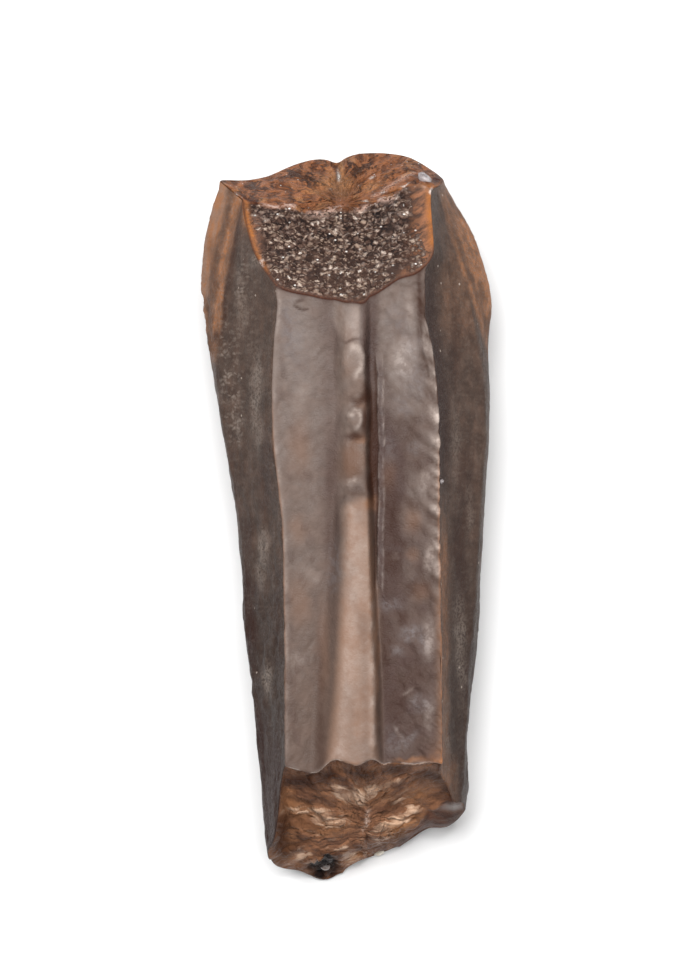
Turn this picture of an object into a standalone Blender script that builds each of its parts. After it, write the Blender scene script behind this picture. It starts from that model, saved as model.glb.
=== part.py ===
"""A fossil hadrosaur tooth, 37 mm long, lying on its back with the enamel face up.

The tooth is one solid. Its flanks, enamel face and back are a loft through closed
sections, each a loop of corners joined by straight or bulging stretches. Two worn faces
cut the crown end, a stepped fracture cuts the root end, and both ends are closed by rings
that shrink to the pulp axis.

Axes: +Y runs to the crown end, +Z out of the enamel face, +X to the right of it.
The origin is under the middle of the tooth, on the surface that it rests on.
"""

import bmesh
import bpy
import numpy as np

MM = 0.001

# --- Driving dimensions, in millimetres -------------------------------------------------

FACE_HEIGHT = 10.7  # enamel face above the surface that the back rests on
FACE_BOW = 0.3  # how much higher the face is at its two ends
FACE_HALF_LENGTH = 15.0
FLANK_EDGE_HEIGHT = 6.5  # edge between a flank and the worn strip beside it
WIDEST_HEIGHT = 4.7

# Lines that run along the tooth, each as (y, x) pairs.
LEFT_MARGIN = [
    (18, -4.5), (15.5, -4.3), (14.2, -3.8), (13.2, -3.8), (12.3, -3.65), (11.3, -3.45), (10.6, -3.38),
    (8.7, -3.53), (5.7, -3.63), (3.8, -3.58), (-0.2, -3.15), (-4.1, -3.05), (-18, -3.0),
]
RIGHT_MARGIN = [
    (18, 4.6), (16, 4.6), (13.6, 4.45), (12.9, 4.35), (12.3, 3.98), (11.2, 3.88), (9.9, 3.98), (8.2, 4.47),
    (5.7, 4.74), (-0.2, 4.86), (-12.2, 5.0), (-18, 5.0),
]
LEFT_FLANK_EDGE = [
    (17, -4.9), (15.6, -5.3), (12.8, -6.15), (9.3, -6.6), (5.8, -6.3), (0, -5.4), (-7, -4.85), (-18, -3.8),
]
RIGHT_FLANK_EDGE = [
    (17, 4.45), (15.5, 4.8), (12.6, 5.8), (10.6, 6.2), (5.8, 6.95), (0, 6.7), (-10, 6.0), (-18, 5.6),
]
LEFT_WIDEST = [
    (16.4, -6.3), (14.8, -6.85), (12.1, -7.3), (8.8, -6.9), (2.3, -5.8), (-2.2, -5.2),
    (-7, -4.85), (-8.4, -4.48), (-10, -4.25), (-14, -4.1), (-17.5, -3.8),
]
RIGHT_WIDEST = [
    (16.6, 5.1), (15.8, 5.55), (13.8, 6.58), (11.8, 7.2), (10.6, 7.36), (9, 7.16), (5.8, 7.2),
    (-2.2, 6.78), (-6.2, 6.6), (-11.6, 6.0), (-13.2, 6.15), (-15.5, 5.9),
]
LEFT_BACK_EDGE = [(18, -0.9), (14, -1.6), (8, -2.2), (0, -2.3), (-10, -1.6), (-18, -1.4)]
RIGHT_BACK_EDGE = [(18, 1.0), (14, 1.7), (8, 2.3), (0, 2.8), (-10, 2.9), (-18, 2.6)]
BACK_HEIGHT = [(18.5, 0.3), (13, 0.0), (-13, 0.0), (-18.5, 0.3)]  # flat between the middle two

# The median ridge of the enamel face.
RIDGE_CREST = [
    (12, 0.3), (8.7, 0.3), (7.6, 0.27), (5.7, 0.42), (2.8, 0.42), (1.0, 0.55), (-4.1, 0.56), (-9, 0.49),
    (-13, 0.37),
]
RIDGE_LEFT_HALF = [(12, 0.7), (8, 0.62), (5.4, 0.6), (1.3, 0.8), (-4, 0.95), (-9, 1.3), (-13, 1.5)]
RIDGE_RIGHT_HALF = [(12, 0.6), (8, 0.58), (5.4, 0.58), (0.5, 0.72), (-4, 0.8), (-9, 1.1), (-13, 1.3)]
RIDGE_HEIGHT = [
    (12, 0.0), (10.4, 0.06), (9.4, 0.22), (8.3, 0.42), (6.8, 0.45), (5.4, 0.22), (4.9, 0.42), (4.0, 0.22),
    (2.6, 0.32), (1.35, 0.26), (0.9, 0.5), (-4, 0.58), (-13, 0.5),
]
RIDGE_CROWN_LEFT = 0.8  # share of each half width over which the ridge rises to its level top
RIDGE_CROWN_RIGHT = 0.6
LEFT_TROUGH_DEPTH = [(12, 0.05), (10.4, 0.08), (8, 0.25), (4, 0.42), (-13, 0.45)]
RIGHT_TROUGH_DEPTH = [(12, 0.15), (10.4, 0.22), (8, 0.45), (4, 0.55), (-13, 0.4)]
SECOND_RIDGE_X = 1.7  # a thread-like ridge on the right-hand plate
SECOND_RIDGE_HEIGHT = 0.12
SECOND_RIDGE_WIDTH = 0.12
SECOND_RIDGE_ENDS = (-3.4, 7.8)

# The beaded right-hand margin.
BEAD_PITCH = 0.95
BEAD_HEIGHT = 0.16
BEAD_FALL = 4  # how fast a bead sinks into the plate and the flank beside it
BEAD_ENDS = (-3.8, 10.2)

# Crown end: the wear facet under the enamel, then the steep end face behind it.
WEAR_FRONT = [
    (-5.5, 11.5), (-3.45, 11.4), (-2.75, 11.17), (-1.76, 11.0), (-0.98, 10.8), (0.3, 10.75), (0.94, 10.72),
    (1.43, 10.9), (2.02, 11.3), (2.56, 11.7), (3.54, 12.1), (3.98, 12.5), (4.6, 12.9),
]  # (x, y)
WEAR_SLOPE = 1.16  # y gained for each millimetre down from the enamel face
END_FOOT = [
    (-6.4, 18.7), (-4.85, 18.1), (-3.85, 18.15), (-2.8, 18.4), (-1.8, 18.65), (-0.8, 18.6), (0.2, 18.65),
    (1.2, 18.85), (2.2, 19.05), (3.2, 19.1), (4.2, 18.9), (5.3, 18.6),
]  # (x, y) of the foot of the end face
END_SLOPE = [
    (-5.5, 0.36), (-4.3, 0.36), (-3.28, 0.4), (-1.94, 0.486), (-0.6, 0.48), (0.6, 0.504), (1.74, 0.474),
    (2.39, 0.444), (2.74, 0.41), (3.93, 0.36), (5, 0.36),
]  # (x, y lost for each millimetre up from the foot)
CREASE_RADIUS = 0.12  # rounding between the wear facet and the end face
SUTURE_X = -0.45  # the notch where the two halves of the end face meet
SUTURE_DEPTH = 0.3
SUTURE_WIDTH = 0.4
SUTURE_TOP, SUTURE_FADE = 3.2, 2.0  # the notch dies out over this height above its top
CROWN_FOCUS = (-0.15, 6.3)  # (x, z) that the fibres of the end face spread from

# Root end: a stepped fracture, deepest at the left.
ROOT_FRONT = [
    (-3.1, -12.23), (-2.26, -12.48), (-1.42, -12.58), (-0.63, -11.94), (-0.05, -12.03), (0.54, -12.23),
    (1.28, -11.9), (1.67, -12.05), (2.16, -11.96), (3.4, -12.13), (4.2, -12.05), (4.9, -12.2),
]  # (x, y) of the enamel's broken edge
ROOT_FRONT_MEAN = -12.2
ROOT_FRONT_FADE = 0.9  # depth over which the edge's waves die out
ROOT_STEPS = [(0, 0), (3, 1.5), (4.4, 2.4), (6.2, 4.4), (8, 5.15), (10.8, 5.85)]  # (depth, length)
ROOT_SHARE = [
    (-4.3, 1.13), (-3.5, 1.05), (-2.5, 1.0), (-0.8, 1.06), (0.2, 0.95), (1.2, 0.87), (3.2, 0.76), (4.2, 0.66),
    (5.2, 0.68), (6, 0.6),
]  # of the length, by x
# The fracture runs further down the tooth past the two margins, as (depth, length).
ROOT_LEFT_STEP = [(0, 0), (1, 1.1), (2.2, 2.1), (3.7, 2.1), (5, 1.4), (6.2, 0)]
ROOT_RIGHT_STEP = [(0, 0), (1, 0.6), (2.2, 1.0), (3.7, 0.8), (5, 0.4), (6.2, 0)]
LEFT_STEP_EDGE, RIGHT_STEP_EDGE = (-2.9, -3.5), (4.9, 5.4)  # x over which each longer step sets in
ROOT_FOCUS = (1.1, 3.4)
ROOT_RIBS = 11
ROOT_RIB_DEPTH = 0.14
CROWN_RIBS = 13
CROWN_RIB_DEPTH = 0.06

# --- How finely the solid is faceted -----------------------------------------------------

RINGS_TO_A_BEAD = 3
PLAIN_RING_STEP = 0.95
ROOT_LEAN = 10.0  # the rings lean towards the end surfaces over these lengths
CROWN_LEAN = 8.0
SIDE_LOW, SIDE_HIGH = -12.3, 11.0
CROWN_CAP_RINGS = 9
ROOT_CAP_RINGS = 8
TRIM_ROUNDS = 14


def line(knots, place):
    """A smooth line through (place, value) knots, read at place: cubic pieces, level beyond the end knots."""
    at, value = np.array(sorted(knots), float).T
    slope = np.gradient(value, at)
    piece = np.clip(np.searchsorted(at, place) - 1, 0, len(at) - 2)
    step = at[piece + 1] - at[piece]
    t = np.clip((place - at[piece]) / step, 0, 1)
    from_start = (1 + 2 * t) * (1 - t) ** 2 * value[piece] + t * (1 - t) ** 2 * step * slope[piece]
    to_end = t * t * (3 - 2 * t) * value[piece + 1] - t * t * (1 - t) * step * slope[piece + 1]
    return from_start + to_end


def straight_line(knots, place):
    """Straight pieces through (place, value) knots."""
    at, value = np.array(sorted(knots), float).T
    return np.interp(place, at, value)


def smooth_step(low, high, value):
    """0 at low, 1 at high, and 3t² - 2t³ between."""
    t = np.clip((value - low) / (high - low), 0, 1)
    return t * t * (3 - 2 * t)


def face_height(y):
    return FACE_HEIGHT + FACE_BOW * (y / FACE_HALF_LENGTH) ** 2


def between(ends, y, fade=0.6):
    """1 between the two ends, fading to 0 outside them."""
    return np.clip((y - ends[0]) / fade, 0, 1) * np.clip((ends[1] - y) / fade, 0, 1)


def beads(y):
    """Rounded beads, one for each pitch, as heights from 0 to 1."""
    return np.abs(np.sin(np.pi * y / BEAD_PITCH)) * between(BEAD_ENDS, y)


def corners(y):
    """(x, z) of each corner of the section at y, from the left margin over the face and round the back."""
    face = face_height(y)
    crest = line(RIDGE_CREST, y)
    back = straight_line(BACK_HEIGHT, y)
    edge = np.full_like(y, FLANK_EDGE_HEIGHT)
    widest = np.full_like(y, WIDEST_HEIGHT)
    return [
        (line(LEFT_MARGIN, y), face - 0.1),
        (crest - line(RIDGE_LEFT_HALF, y), face - line(LEFT_TROUGH_DEPTH, y)),
        (crest, face + line(RIDGE_HEIGHT, y)),
        (crest + line(RIDGE_RIGHT_HALF, y), face - line(RIGHT_TROUGH_DEPTH, y)),
        (line(RIGHT_MARGIN, y), face - 0.1),
        (line(RIGHT_FLANK_EDGE, y), edge),
        (line(RIGHT_WIDEST, y), widest),
        (line(RIGHT_BACK_EDGE, y), back),
        (line(LEFT_BACK_EDGE, y), back),
        (line(LEFT_WIDEST, y), widest),
        (line(LEFT_FLANK_EDGE, y), edge),
    ]


# One entry for each stretch from a corner to the next: how many facets, how far it bulges
# outwards at its middle, and whether it leaves and meets its corners level, as a ridge does.
STRETCHES = [
    (5, 0.14, False),  # left enamel plate
    (5, 0.0, True),  # ridge, left side
    (5, 0.0, True),  # ridge, right side
    (8, -0.02, False),  # right enamel plate
    (5, -0.5, False),  # right flank
    (2, 0.05, False),  # right worn strip
    (5, 0.55, False),  # right side of the back
    (6, 0.0, False),  # flat of the back
    (5, 0.55, False),  # left side of the back
    (2, 0.05, False),  # left worn strip
    (5, -0.12, False),  # left flank
]
LEFT_OF_RIDGE = 1
RIGHT_PLATE, RIGHT_FLANK = 3, 4
STRETCH_OF = np.repeat(np.arange(len(STRETCHES)), [count for count, _, _ in STRETCHES])
SHARE_OF = np.concatenate([np.arange(count) / count for count, _, _ in STRETCHES])


def section(y):
    """(x, z) where each of the lines along the tooth crosses the section at its own y."""
    x, z = np.empty_like(y), np.empty_like(y)
    for index, (_, bulge, level) in enumerate(STRETCHES):
        mine = STRETCH_OF == index
        places = corners(y[mine])
        (x0, z0), (x1, z1) = places[index], places[(index + 1) % len(places)]
        t = SHARE_OF[mine]
        rise = t
        if level:
            left = index == LEFT_OF_RIDGE
            from_trough = t / RIDGE_CROWN_LEFT if left else (1 - t) / RIDGE_CROWN_RIGHT
            rise = (1 - np.cos(np.pi * np.clip(from_trough, 0, 1))) / 2
            rise = rise if left else 1 - rise
        length = np.hypot(x1 - x0, z1 - z0)
        out = bulge * 4 * t * (1 - t) / length
        x[mine] = x0 + t * (x1 - x0) - out * (z1 - z0)
        z[mine] = z0 + rise * (z1 - z0) + out * (x1 - x0)
    thread = np.exp(-(((x - SECOND_RIDGE_X) / SECOND_RIDGE_WIDTH) ** 2)) * between(SECOND_RIDGE_ENDS, y)
    on_plate, on_flank = STRETCH_OF == RIGHT_PLATE, STRETCH_OF == RIGHT_FLANK
    bead = BEAD_HEIGHT * beads(y) * (on_plate * SHARE_OF**BEAD_FALL + on_flank * (1 - SHARE_OF) ** BEAD_FALL)
    return x + bead / 2, z + bead + SECOND_RIDGE_HEIGHT * thread * on_plate


def ribs(x, z, focus, count, depth):
    """Ribs that fan out from the focus, lower close to it, as fibres do on a broken tooth."""
    angle = np.arctan2(z - focus[1], x - focus[0])
    reach = np.hypot(x - focus[0], z - focus[1])
    wave = np.sin(count * angle + 1.3 * np.sin(3 * angle)) + 0.6 * np.sin((count // 2) * angle + 2.0)
    return depth * wave * np.clip(reach / 2.5, 0, 1)


def crown_end(x, z):
    """y of the crown's end: the lower of the wear facet and the end face, rounded where they meet."""
    wear = line(WEAR_FRONT, x) + WEAR_SLOPE * (FACE_HEIGHT - z)
    notch = SUTURE_DEPTH * np.exp(-(((x - SUTURE_X) / SUTURE_WIDTH) ** 2))
    notch = notch * smooth_step(SUTURE_TOP + SUTURE_FADE, SUTURE_TOP, z)
    end = line(END_FOOT, x) - line(END_SLOPE, x) * z - notch
    end = end + ribs(x, z, CROWN_FOCUS, CROWN_RIBS, CROWN_RIB_DEPTH)
    return (wear + end) / 2 - np.hypot((wear - end) / 2, CREASE_RADIUS)


def root_end(x, z):
    """y of the root's fracture: the enamel's broken edge, less a stepped fall with depth."""
    depth = np.clip(FACE_HEIGHT - z, 0, None)
    front = ROOT_FRONT_MEAN + (line(ROOT_FRONT, x) - ROOT_FRONT_MEAN) * np.exp(-depth / ROOT_FRONT_FADE)
    left = smooth_step(*LEFT_STEP_EDGE, x) * line(ROOT_LEFT_STEP, depth)
    right = smooth_step(*RIGHT_STEP_EDGE, x) * line(ROOT_RIGHT_STEP, depth)
    fall = line(ROOT_SHARE, x) * line(ROOT_STEPS, depth)
    fibres = ribs(x, z, ROOT_FOCUS, ROOT_RIBS, ROOT_RIB_DEPTH) * np.clip(depth / 2, 0, 1)
    return front - fall - left - right + fibres


def trimmed(end, start):
    """The y at which each line along the tooth meets an end surface, found by repeated substitution."""
    y = np.full(len(STRETCH_OF), start, float)
    for _ in range(TRIM_ROUNDS):
        y = (y + end(*section(y))) / 2
    return y


def ring_places():
    """y of each ring of the sides where it stands square, closer together along the beaded margin."""
    plain = np.arange(SIDE_LOW, BEAD_ENDS[0], PLAIN_RING_STEP)
    beaded = np.arange(BEAD_ENDS[0], SIDE_HIGH, BEAD_PITCH / RINGS_TO_A_BEAD)
    return np.concatenate([plain, beaded, [SIDE_HIGH]])


def cap_rings(rim_x, rim_z, end, focus, count):
    """Rings on an end surface, from inside the rim to just outside the focus."""
    for share in np.linspace(1, 0, count + 1)[1:-1]:
        x = focus[0] + share * (rim_x - focus[0])
        z = focus[1] + share * (rim_z - focus[1])
        yield x, end(x, z), z


def tooth_rings():
    """Every ring of the tooth as (x, y, z) arrays, from the root's focus to the crown's."""
    low, high = trimmed(root_end, -15.0), trimmed(crown_end, 14.0)
    sides = []
    for place in ring_places():
        root_share = np.clip(1 - (place - SIDE_LOW) / ROOT_LEAN, 0, 1)
        crown_share = np.clip(1 - (SIDE_HIGH - place) / CROWN_LEAN, 0, 1)
        y = place + (low - SIDE_LOW) * root_share + (high - SIDE_HIGH) * crown_share
        x, z = section(y)
        sides.append((x, y, z))
    root = list(cap_rings(sides[0][0], sides[0][2], root_end, ROOT_FOCUS, ROOT_CAP_RINGS))
    crown = list(cap_rings(sides[-1][0], sides[-1][2], crown_end, CROWN_FOCUS, CROWN_CAP_RINGS))
    return root[::-1] + sides + crown


def loft(rings):
    """A closed mesh through rings of equally many points, with a fan inside the first and the last ring."""
    shape = bmesh.new()
    rings = [[shape.verts.new(point) for point in zip(*ring)] for ring in rings]
    for ring, after in zip(rings, rings[1:]):
        for i in range(len(ring)):
            shape.faces.new((ring[i - 1], ring[i], after[i], after[i - 1]))
    ends = [shape.faces.new(rings[0]), shape.faces.new(rings[-1])]
    bmesh.ops.poke(shape, faces=ends)
    bmesh.ops.triangulate(shape, faces=shape.faces[:])
    bmesh.ops.recalc_face_normals(shape, faces=shape.faces[:])
    return shape


def centre_on_base(shape):
    """Moves the mesh so that the middle of its box is over the origin and its lowest point is at z = 0."""
    points = np.array([vert.co for vert in shape.verts])
    low, high = points.min(axis=0), points.max(axis=0)
    shift = (-(low[0] + high[0]) / 2, -(low[1] + high[1]) / 2, -low[2])
    bmesh.ops.translate(shape, verts=shape.verts[:], vec=shift)


def fossil_material():
    """Dark grey-brown mineralised dentine with a soft polish."""
    material = bpy.data.materials.new("fossil_dentine")
    material.use_nodes = True
    surface = material.node_tree.nodes["Principled BSDF"]
    surface.inputs["Base Color"].default_value = (0.13, 0.085, 0.065, 1.0)
    surface.inputs["Roughness"].default_value = 0.42
    surface.inputs["Metallic"].default_value = 0.0
    return material


def build_tooth():
    shape = loft(tooth_rings())
    centre_on_base(shape)
    bmesh.ops.scale(shape, vec=(MM, MM, MM), verts=shape.verts[:])
    mesh = bpy.data.meshes.new("tooth")
    shape.to_mesh(mesh)
    shape.free()
    mesh.materials.append(fossil_material())
    tooth = bpy.data.objects.new("tooth", mesh)
    bpy.context.scene.collection.objects.link(tooth)
    return tooth


def main():
    for obj in list(bpy.data.objects):
        bpy.data.objects.remove(obj, do_unlink=True)
    build_tooth()


main()
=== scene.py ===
"""A fossil hadrosaur tooth: its finished surface, the small grains on it, and the stage that it lies on.

The tooth is one closed surface. Rows run round it and columns run along it: a row of the sides is a
section of the tooth, and a row of an end is a smaller copy of the last section, drawn in to the point
that the fibres of that end spread from. Relief is added along the surface's normals, and masks that say
where each finish shows are kept on the points.

Sizes are millimetres unless a name says metres. +Y runs to the crown end, +Z out of the enamel face.
"""

import functools
from types import SimpleNamespace

import bpy
import numpy as np
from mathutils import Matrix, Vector


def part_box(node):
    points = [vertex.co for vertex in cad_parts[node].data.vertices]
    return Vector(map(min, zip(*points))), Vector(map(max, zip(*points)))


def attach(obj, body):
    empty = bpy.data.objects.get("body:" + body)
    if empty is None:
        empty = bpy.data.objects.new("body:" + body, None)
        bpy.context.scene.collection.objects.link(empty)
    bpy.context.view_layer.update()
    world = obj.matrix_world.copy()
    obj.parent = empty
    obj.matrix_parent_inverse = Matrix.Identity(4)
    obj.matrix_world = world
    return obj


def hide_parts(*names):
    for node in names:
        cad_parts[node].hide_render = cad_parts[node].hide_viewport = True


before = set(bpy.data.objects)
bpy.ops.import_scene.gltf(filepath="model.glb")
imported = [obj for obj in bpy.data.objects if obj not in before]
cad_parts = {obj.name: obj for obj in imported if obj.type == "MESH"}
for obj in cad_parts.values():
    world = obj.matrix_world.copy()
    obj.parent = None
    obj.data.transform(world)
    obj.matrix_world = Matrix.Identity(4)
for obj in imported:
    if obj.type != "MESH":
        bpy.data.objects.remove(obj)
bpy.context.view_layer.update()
TOOTH_LOW, TOOTH_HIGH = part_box("tooth")

bl_info = {
    "name": "Fossil hadrosaur tooth",
    "version": (1, 0, 0),
    "blender": (4, 5, 0),
    "location": "3D View > Sidebar > Fossil Tooth",
    "description": "Builds a fossil hadrosaur tooth with its enamel, worn crown and broken root",
    "category": "Add Mesh",
}

MM = 0.001

# --- Outline of the tooth, as (y, x) pairs along it ----------------------------------------

FACE_HEIGHT = 10.7
FACE_BOW = 0.3
FACE_HALF_LENGTH = 15.0
FLANK_EDGE_HEIGHT = 6.5
WIDEST_HEIGHT = 4.7
LEFT_MARGIN = [
    (18, -4.5), (15.5, -4.3), (14.2, -3.8), (13.2, -3.8), (12.3, -3.65), (11.3, -3.45), (10.6, -3.38),
    (8.7, -3.53), (5.7, -3.63), (3.8, -3.58), (-0.2, -3.15), (-4.1, -3.05), (-18, -3.0),
]
RIGHT_MARGIN = [
    (18, 4.6), (16, 4.6), (13.6, 4.45), (12.9, 4.35), (12.3, 3.98), (11.2, 3.88), (9.9, 3.92), (8.2, 4.24),
    (5.7, 4.5), (-0.2, 4.6), (-12.2, 4.76), (-18, 4.8),
]
LEFT_FLANK_EDGE = [
    (17, -4.9), (15.6, -5.3), (12.8, -6.15), (9.3, -6.6), (5.8, -6.3), (0, -5.4), (-7, -4.85), (-18, -3.8),
]
RIGHT_FLANK_EDGE = [
    (17, 4.45), (15.5, 4.8), (12.6, 5.8), (10.6, 6.2), (5.8, 6.95), (0, 6.7), (-10, 6.0), (-18, 5.6),
]
LEFT_WIDEST = [
    (16.4, -6.45), (14.8, -6.98), (12.1, -7.33), (8.8, -6.9), (2.3, -5.8), (-2.2, -5.2),
    (-7, -4.85), (-8.4, -4.4), (-10, -4.12), (-14, -4.1), (-17.5, -3.8),
]
RIGHT_WIDEST = [
    (16.6, 4.95), (15.8, 5.45), (13.8, 6.55), (11.8, 7.2), (10.6, 7.36), (9, 7.2), (5.8, 7.2),
    (-2.2, 6.78), (-6.2, 6.6), (-11.6, 6.0), (-13.2, 6.15), (-15.5, 5.9),
]
LEFT_BACK_EDGE = [(18, -0.9), (14, -1.6), (8, -2.2), (0, -2.3), (-10, -1.6), (-18, -1.4)]
RIGHT_BACK_EDGE = [(18, 1.0), (14, 1.7), (8, 2.3), (0, 2.8), (-10, 2.9), (-18, 2.6)]
BACK_HEIGHT = [(18.5, 0.3), (13, 0.0), (-13, 0.0), (-18.5, 0.3)]

# --- The median ridge and its troughs, as (y, size) pairs -----------------------------------

RIDGE_CREST = [
    (12, 0.3), (8.7, 0.3), (7.6, 0.27), (5.7, 0.42), (2.8, 0.42), (1.0, 0.55), (-4.1, 0.56), (-9, 0.49),
    (-13, 0.37),
]
RIDGE_LEFT_HALF = [
    (12, 1.0), (8, 0.95), (5.4, 1.0), (1.3, 1.2), (-2.6, 1.45), (-5, 1.75), (-9, 2.05), (-13, 2.2)
]
RIDGE_RIGHT_HALF = [(12, 0.9), (8, 0.9), (5.4, 0.85), (0.5, 0.8), (-4, 0.95), (-9, 1.3), (-13, 1.5)]
RIDGE_HEIGHT = [
    (12, 0.0), (10.4, 0.06), (9.4, 0.22), (8.3, 0.42), (6.8, 0.45), (5.4, 0.22), (4.9, 0.42), (4.0, 0.22),
    (2.6, 0.32), (1.35, 0.26), (0.9, 0.5), (-4, 0.58), (-13, 0.5),
]
RIDGE_CROWN_LEFT = 0.75
RIDGE_CROWN_RIGHT = 0.35
LEFT_TROUGH_DEPTH = [(12, 0.06), (10.4, 0.09), (8, 0.16), (4, 0.2), (-13, 0.2)]
RIGHT_TROUGH_DEPTH = [(12, 0.15), (10.4, 0.22), (8, 0.45), (4, 0.55), (-13, 0.4)]
CREST_LEFT = [
    (10.5, -0.5), (9.67, -0.47), (8.8, -0.2), (8.45, -0.17), (7.6, -0.37), (6.97, -0.29), (6.0, -0.28),
    (4.76, -0.12),
    (3.6, -0.25), (2.8, -0.3), (1.2, -0.2), (-0.15, -0.14), (-2.6, -0.2), (-5.06, -0.24), (-8, -0.42),
    (-10.95, -0.73), (-12.2, -0.88),
]
CREST_RIGHT = [
    (10.5, 0.68), (9.3, 0.68), (8.5, 0.66), (7.6, 0.9), (6.0, 0.95), (1.0, 0.98), (0.0, 1.08), (-2.6, 1.25),
    (-5.06, 1.42),
    (-9.0, 1.5), (-12.2, 1.57),
]
# Strength of the painted shade in the hollow at the crest's left foot
HOLLOW = [
    (10.5, 0.62), (8.5, 0.6), (6.0, 0.5), (2.8, 0.65), (-0.2, 0.55), (-2.6, 0.45), (-5, 0.3), (-12, 0.3)
]
# How pale the crest's satin top is: pale colour with a painted sheen
UPPER_LIGHT = [
    (10.5, 0.33), (8.8, 0.33), (8.3, 0.3), (6.6, 0.25), (6.0, 0.2), (4.8, 0.15), (3.6, 0.0), (1.4, 0.0)
]
DUSK_EDGE = [
    (7.0, 2.2), (6.0, 2.4), (4.8, 2.4), (2.8, 2.95), (-0.2, 2.7), (-2.6, 2.75), (-5.1, 3.0), (-8, 3.15),
    (-11, 2.6)
]
DUSK_NEAR = [
    (9, 0.0), (8.2, 0.15), (7.5, 0.4), (6, 0.6), (4.8, 0.9), (-0.1, 1.0), (-2.6, 1.0), (-5, 0.75), (-8, 0.85),
    (-12, 0.9)
]
DUSK_FAR = [
    (8.5, 0.0), (7, 0.02), (6, 0.12), (4.8, 0.35), (0, 0.42), (-2.6, 0.55), (-5, 0.6), (-8, 0.75), (-12, 0.7)
]

# --- Small features of the enamel face ------------------------------------------------------

THREAD_X = [(9, 1.62), (7.8, 1.66), (4, 1.74), (-3.4, 1.68)]
THREAD_HALF = 0.15
THREAD_EDGE = 0.05
THREAD_ENDS = (-3.4, 7.8)
BEADS = [  # (y, half length, height share) of each bead on the right-hand margin
    (9.3, 0.4, 0.35), (8.1, 0.45, 0.7), (7.05, 0.3, 0.6), (6.3, 0.3, 0.7), (4.85, 0.5, 1.0),
    (3.65, 0.38, 1.0),
    (2.8, 0.26, 0.8), (2.15, 0.24, 0.9), (1.55, 0.22, 0.8), (1.0, 0.2, 0.7), (0.27, 0.28, 1.0),
    (-0.85, 0.24, 0.8),
    (-1.5, 0.24, 0.9), (-2.6, 0.45, 0.8), (-3.85, 0.36, 0.4),
]
BEAD_SLANT = 0.6  # y gained for each millimetre that a bead's wrinkle runs in from the margin
BEAD_REACH = 1.5
CREST_BUMPS = [(0.36, 7.62, 0.58, 0.95, 0.14), (0.44, 4.81, 0.4, 0.58, 0.13)]  # (x, y, half sizes, height)
CREST_CRACK_Y = 1.22
CREST_NICK = [(-2.5, 10.35), (-2.2, 10.15), (-1.9, 10.2)]
SCALLOP_REACH = [(10, 0.26), (8.2, 0.52), (7, 0.42)]  # (y, distance in from the right-hand margin)

# Tints of the enamel face, painted shade, highlights and sheen among them: (x, y, half width, half height,
# degrees turned, strength)
# Dark stains, with painted shade in the troughs by the crest
STAIN_AND_SHADE_MARKS = [
    (1.34, 3.9, 0.26, 2.5, 0, 0.9), (1.25, 1.8, 0.28, 1.2, 0, 0.9), (1.05, 6.0, 0.3, 0.7, 10, 0.9),
    (0.95, 4.7, 0.22, 0.8, 0, 0.85),
    (0.7, 5.75, 0.5, 0.25, 0, 0.8), (0.45, 3.95, 0.5, 0.22, 0, 0.85), (0.3, 8.66, 0.5, 0.1, 0, 0.6),
    (0.5, 1.38, 0.5, 0.08, 8, 0.5),
    (1.2, 8.6, 0.3, 1.6, 0, 0.5), (2.2, 0.3, 0.5, 1.6, 0, 0.5), (2.3, -2.2, 0.5, 1.0, 0, 0.6),
    (3.2, -3.6, 0.35, 0.35, 0, 0.5),
    (1.9, -6.5, 0.4, 2.4, 0, 0.4), (2.75, -5.0, 0.3, 0.35, 0, 0.6), (2.9, -1.2, 0.34, 0.25, -30, 0.4),
    (3.5, -7.6, 0.5, 0.7, 20, 0.3),
    (-0.7, -2.1, 0.36, 2.6, 0, 0.3), (-1.25, -11.0, 0.25, 1.9, 0, 0.35), (-0.75, 2.4, 0.25, 1.4, 0, 0.3),
    (-1.3, -7.5, 0.2, 2.2, 0, 0.35), (-2.26, 10.5, 0.25, 0.1, 20, 0.7), (2.5, -9.3, 0.5, 1.0, 0, 0.35),
    (3.7, -2.8, 0.3, 1.0, 0, 0.3),
    (1.5, -10.5, 0.14, 1.8, 0, 0.5), (2.9, 4.3, 0.6, 0.8, 35, 0.35), (3.5, 2.6, 0.5, 0.2, -35, 0.4),
    (3.3, 0.6, 0.6, 0.2, -35, 0.4),
    (1.0, 7.3, 0.12, 1.2, 4, 0.5), (0.3, 2.6, 0.7, 1.2, 0, 0.32), (3.6, 4.6, 0.5, 0.15, -35, 0.35),
    (3.4, 6.0, 0.6, 0.14, -35, 0.3),
    (3.75, 10.1, 0.26, 0.8, 0, 0.5), (3.95, 8.7, 0.2, 0.6, 10, 0.4), (3.9, 7.5, 0.3, 0.14, -20, 0.5),
]
WARM_MARKS = [
    (0.35, 2.8, 0.6, 1.0, 0, 0.5), (0.65, 3.75, 0.35, 0.2, 0, 0.7), (1.25, 0.75, 0.3, 0.4, 0, 0.9),
    (0.75, 5.6, 0.3, 0.3, 0, 0.5),
    (-0.3, -10.7, 0.5, 1.5, 0, 0.25), (0.1, -4.7, 0.3, 1.2, 0, 0.35), (0.2, -7.2, 0.4, 1.6, 0, 0.25),
    (1.3, -2.5, 0.14, 3.0, 0, 0.5),
    (-2.3, 3.5, 0.6, 1.4, 0, 0.25), (-2.3, -4.1, 0.5, 1.2, 0, 0.25), (-2.4, -0.6, 0.4, 0.7, 0, 0.25),
    (3.3, -0.15, 0.4, 0.6, 0, 0.3),
    (3.7, -3.7, 0.5, 0.5, 10, 0.25), (-1.1, -6.5, 0.3, 2.2, 0, 0.2), (3.3, -1.9, 0.3, 0.3, 30, 0.25),
    (1.5, -6.6, 0.12, 3.0, 0, 0.5), (3.2, -12.0, 0.8, 0.14, 3, 0.9), (0.2, -12.1, 0.7, 0.12, 0, 0.5),
    (2.1, 2.0, 0.4, 0.8, 0, 0.2),
]
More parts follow.
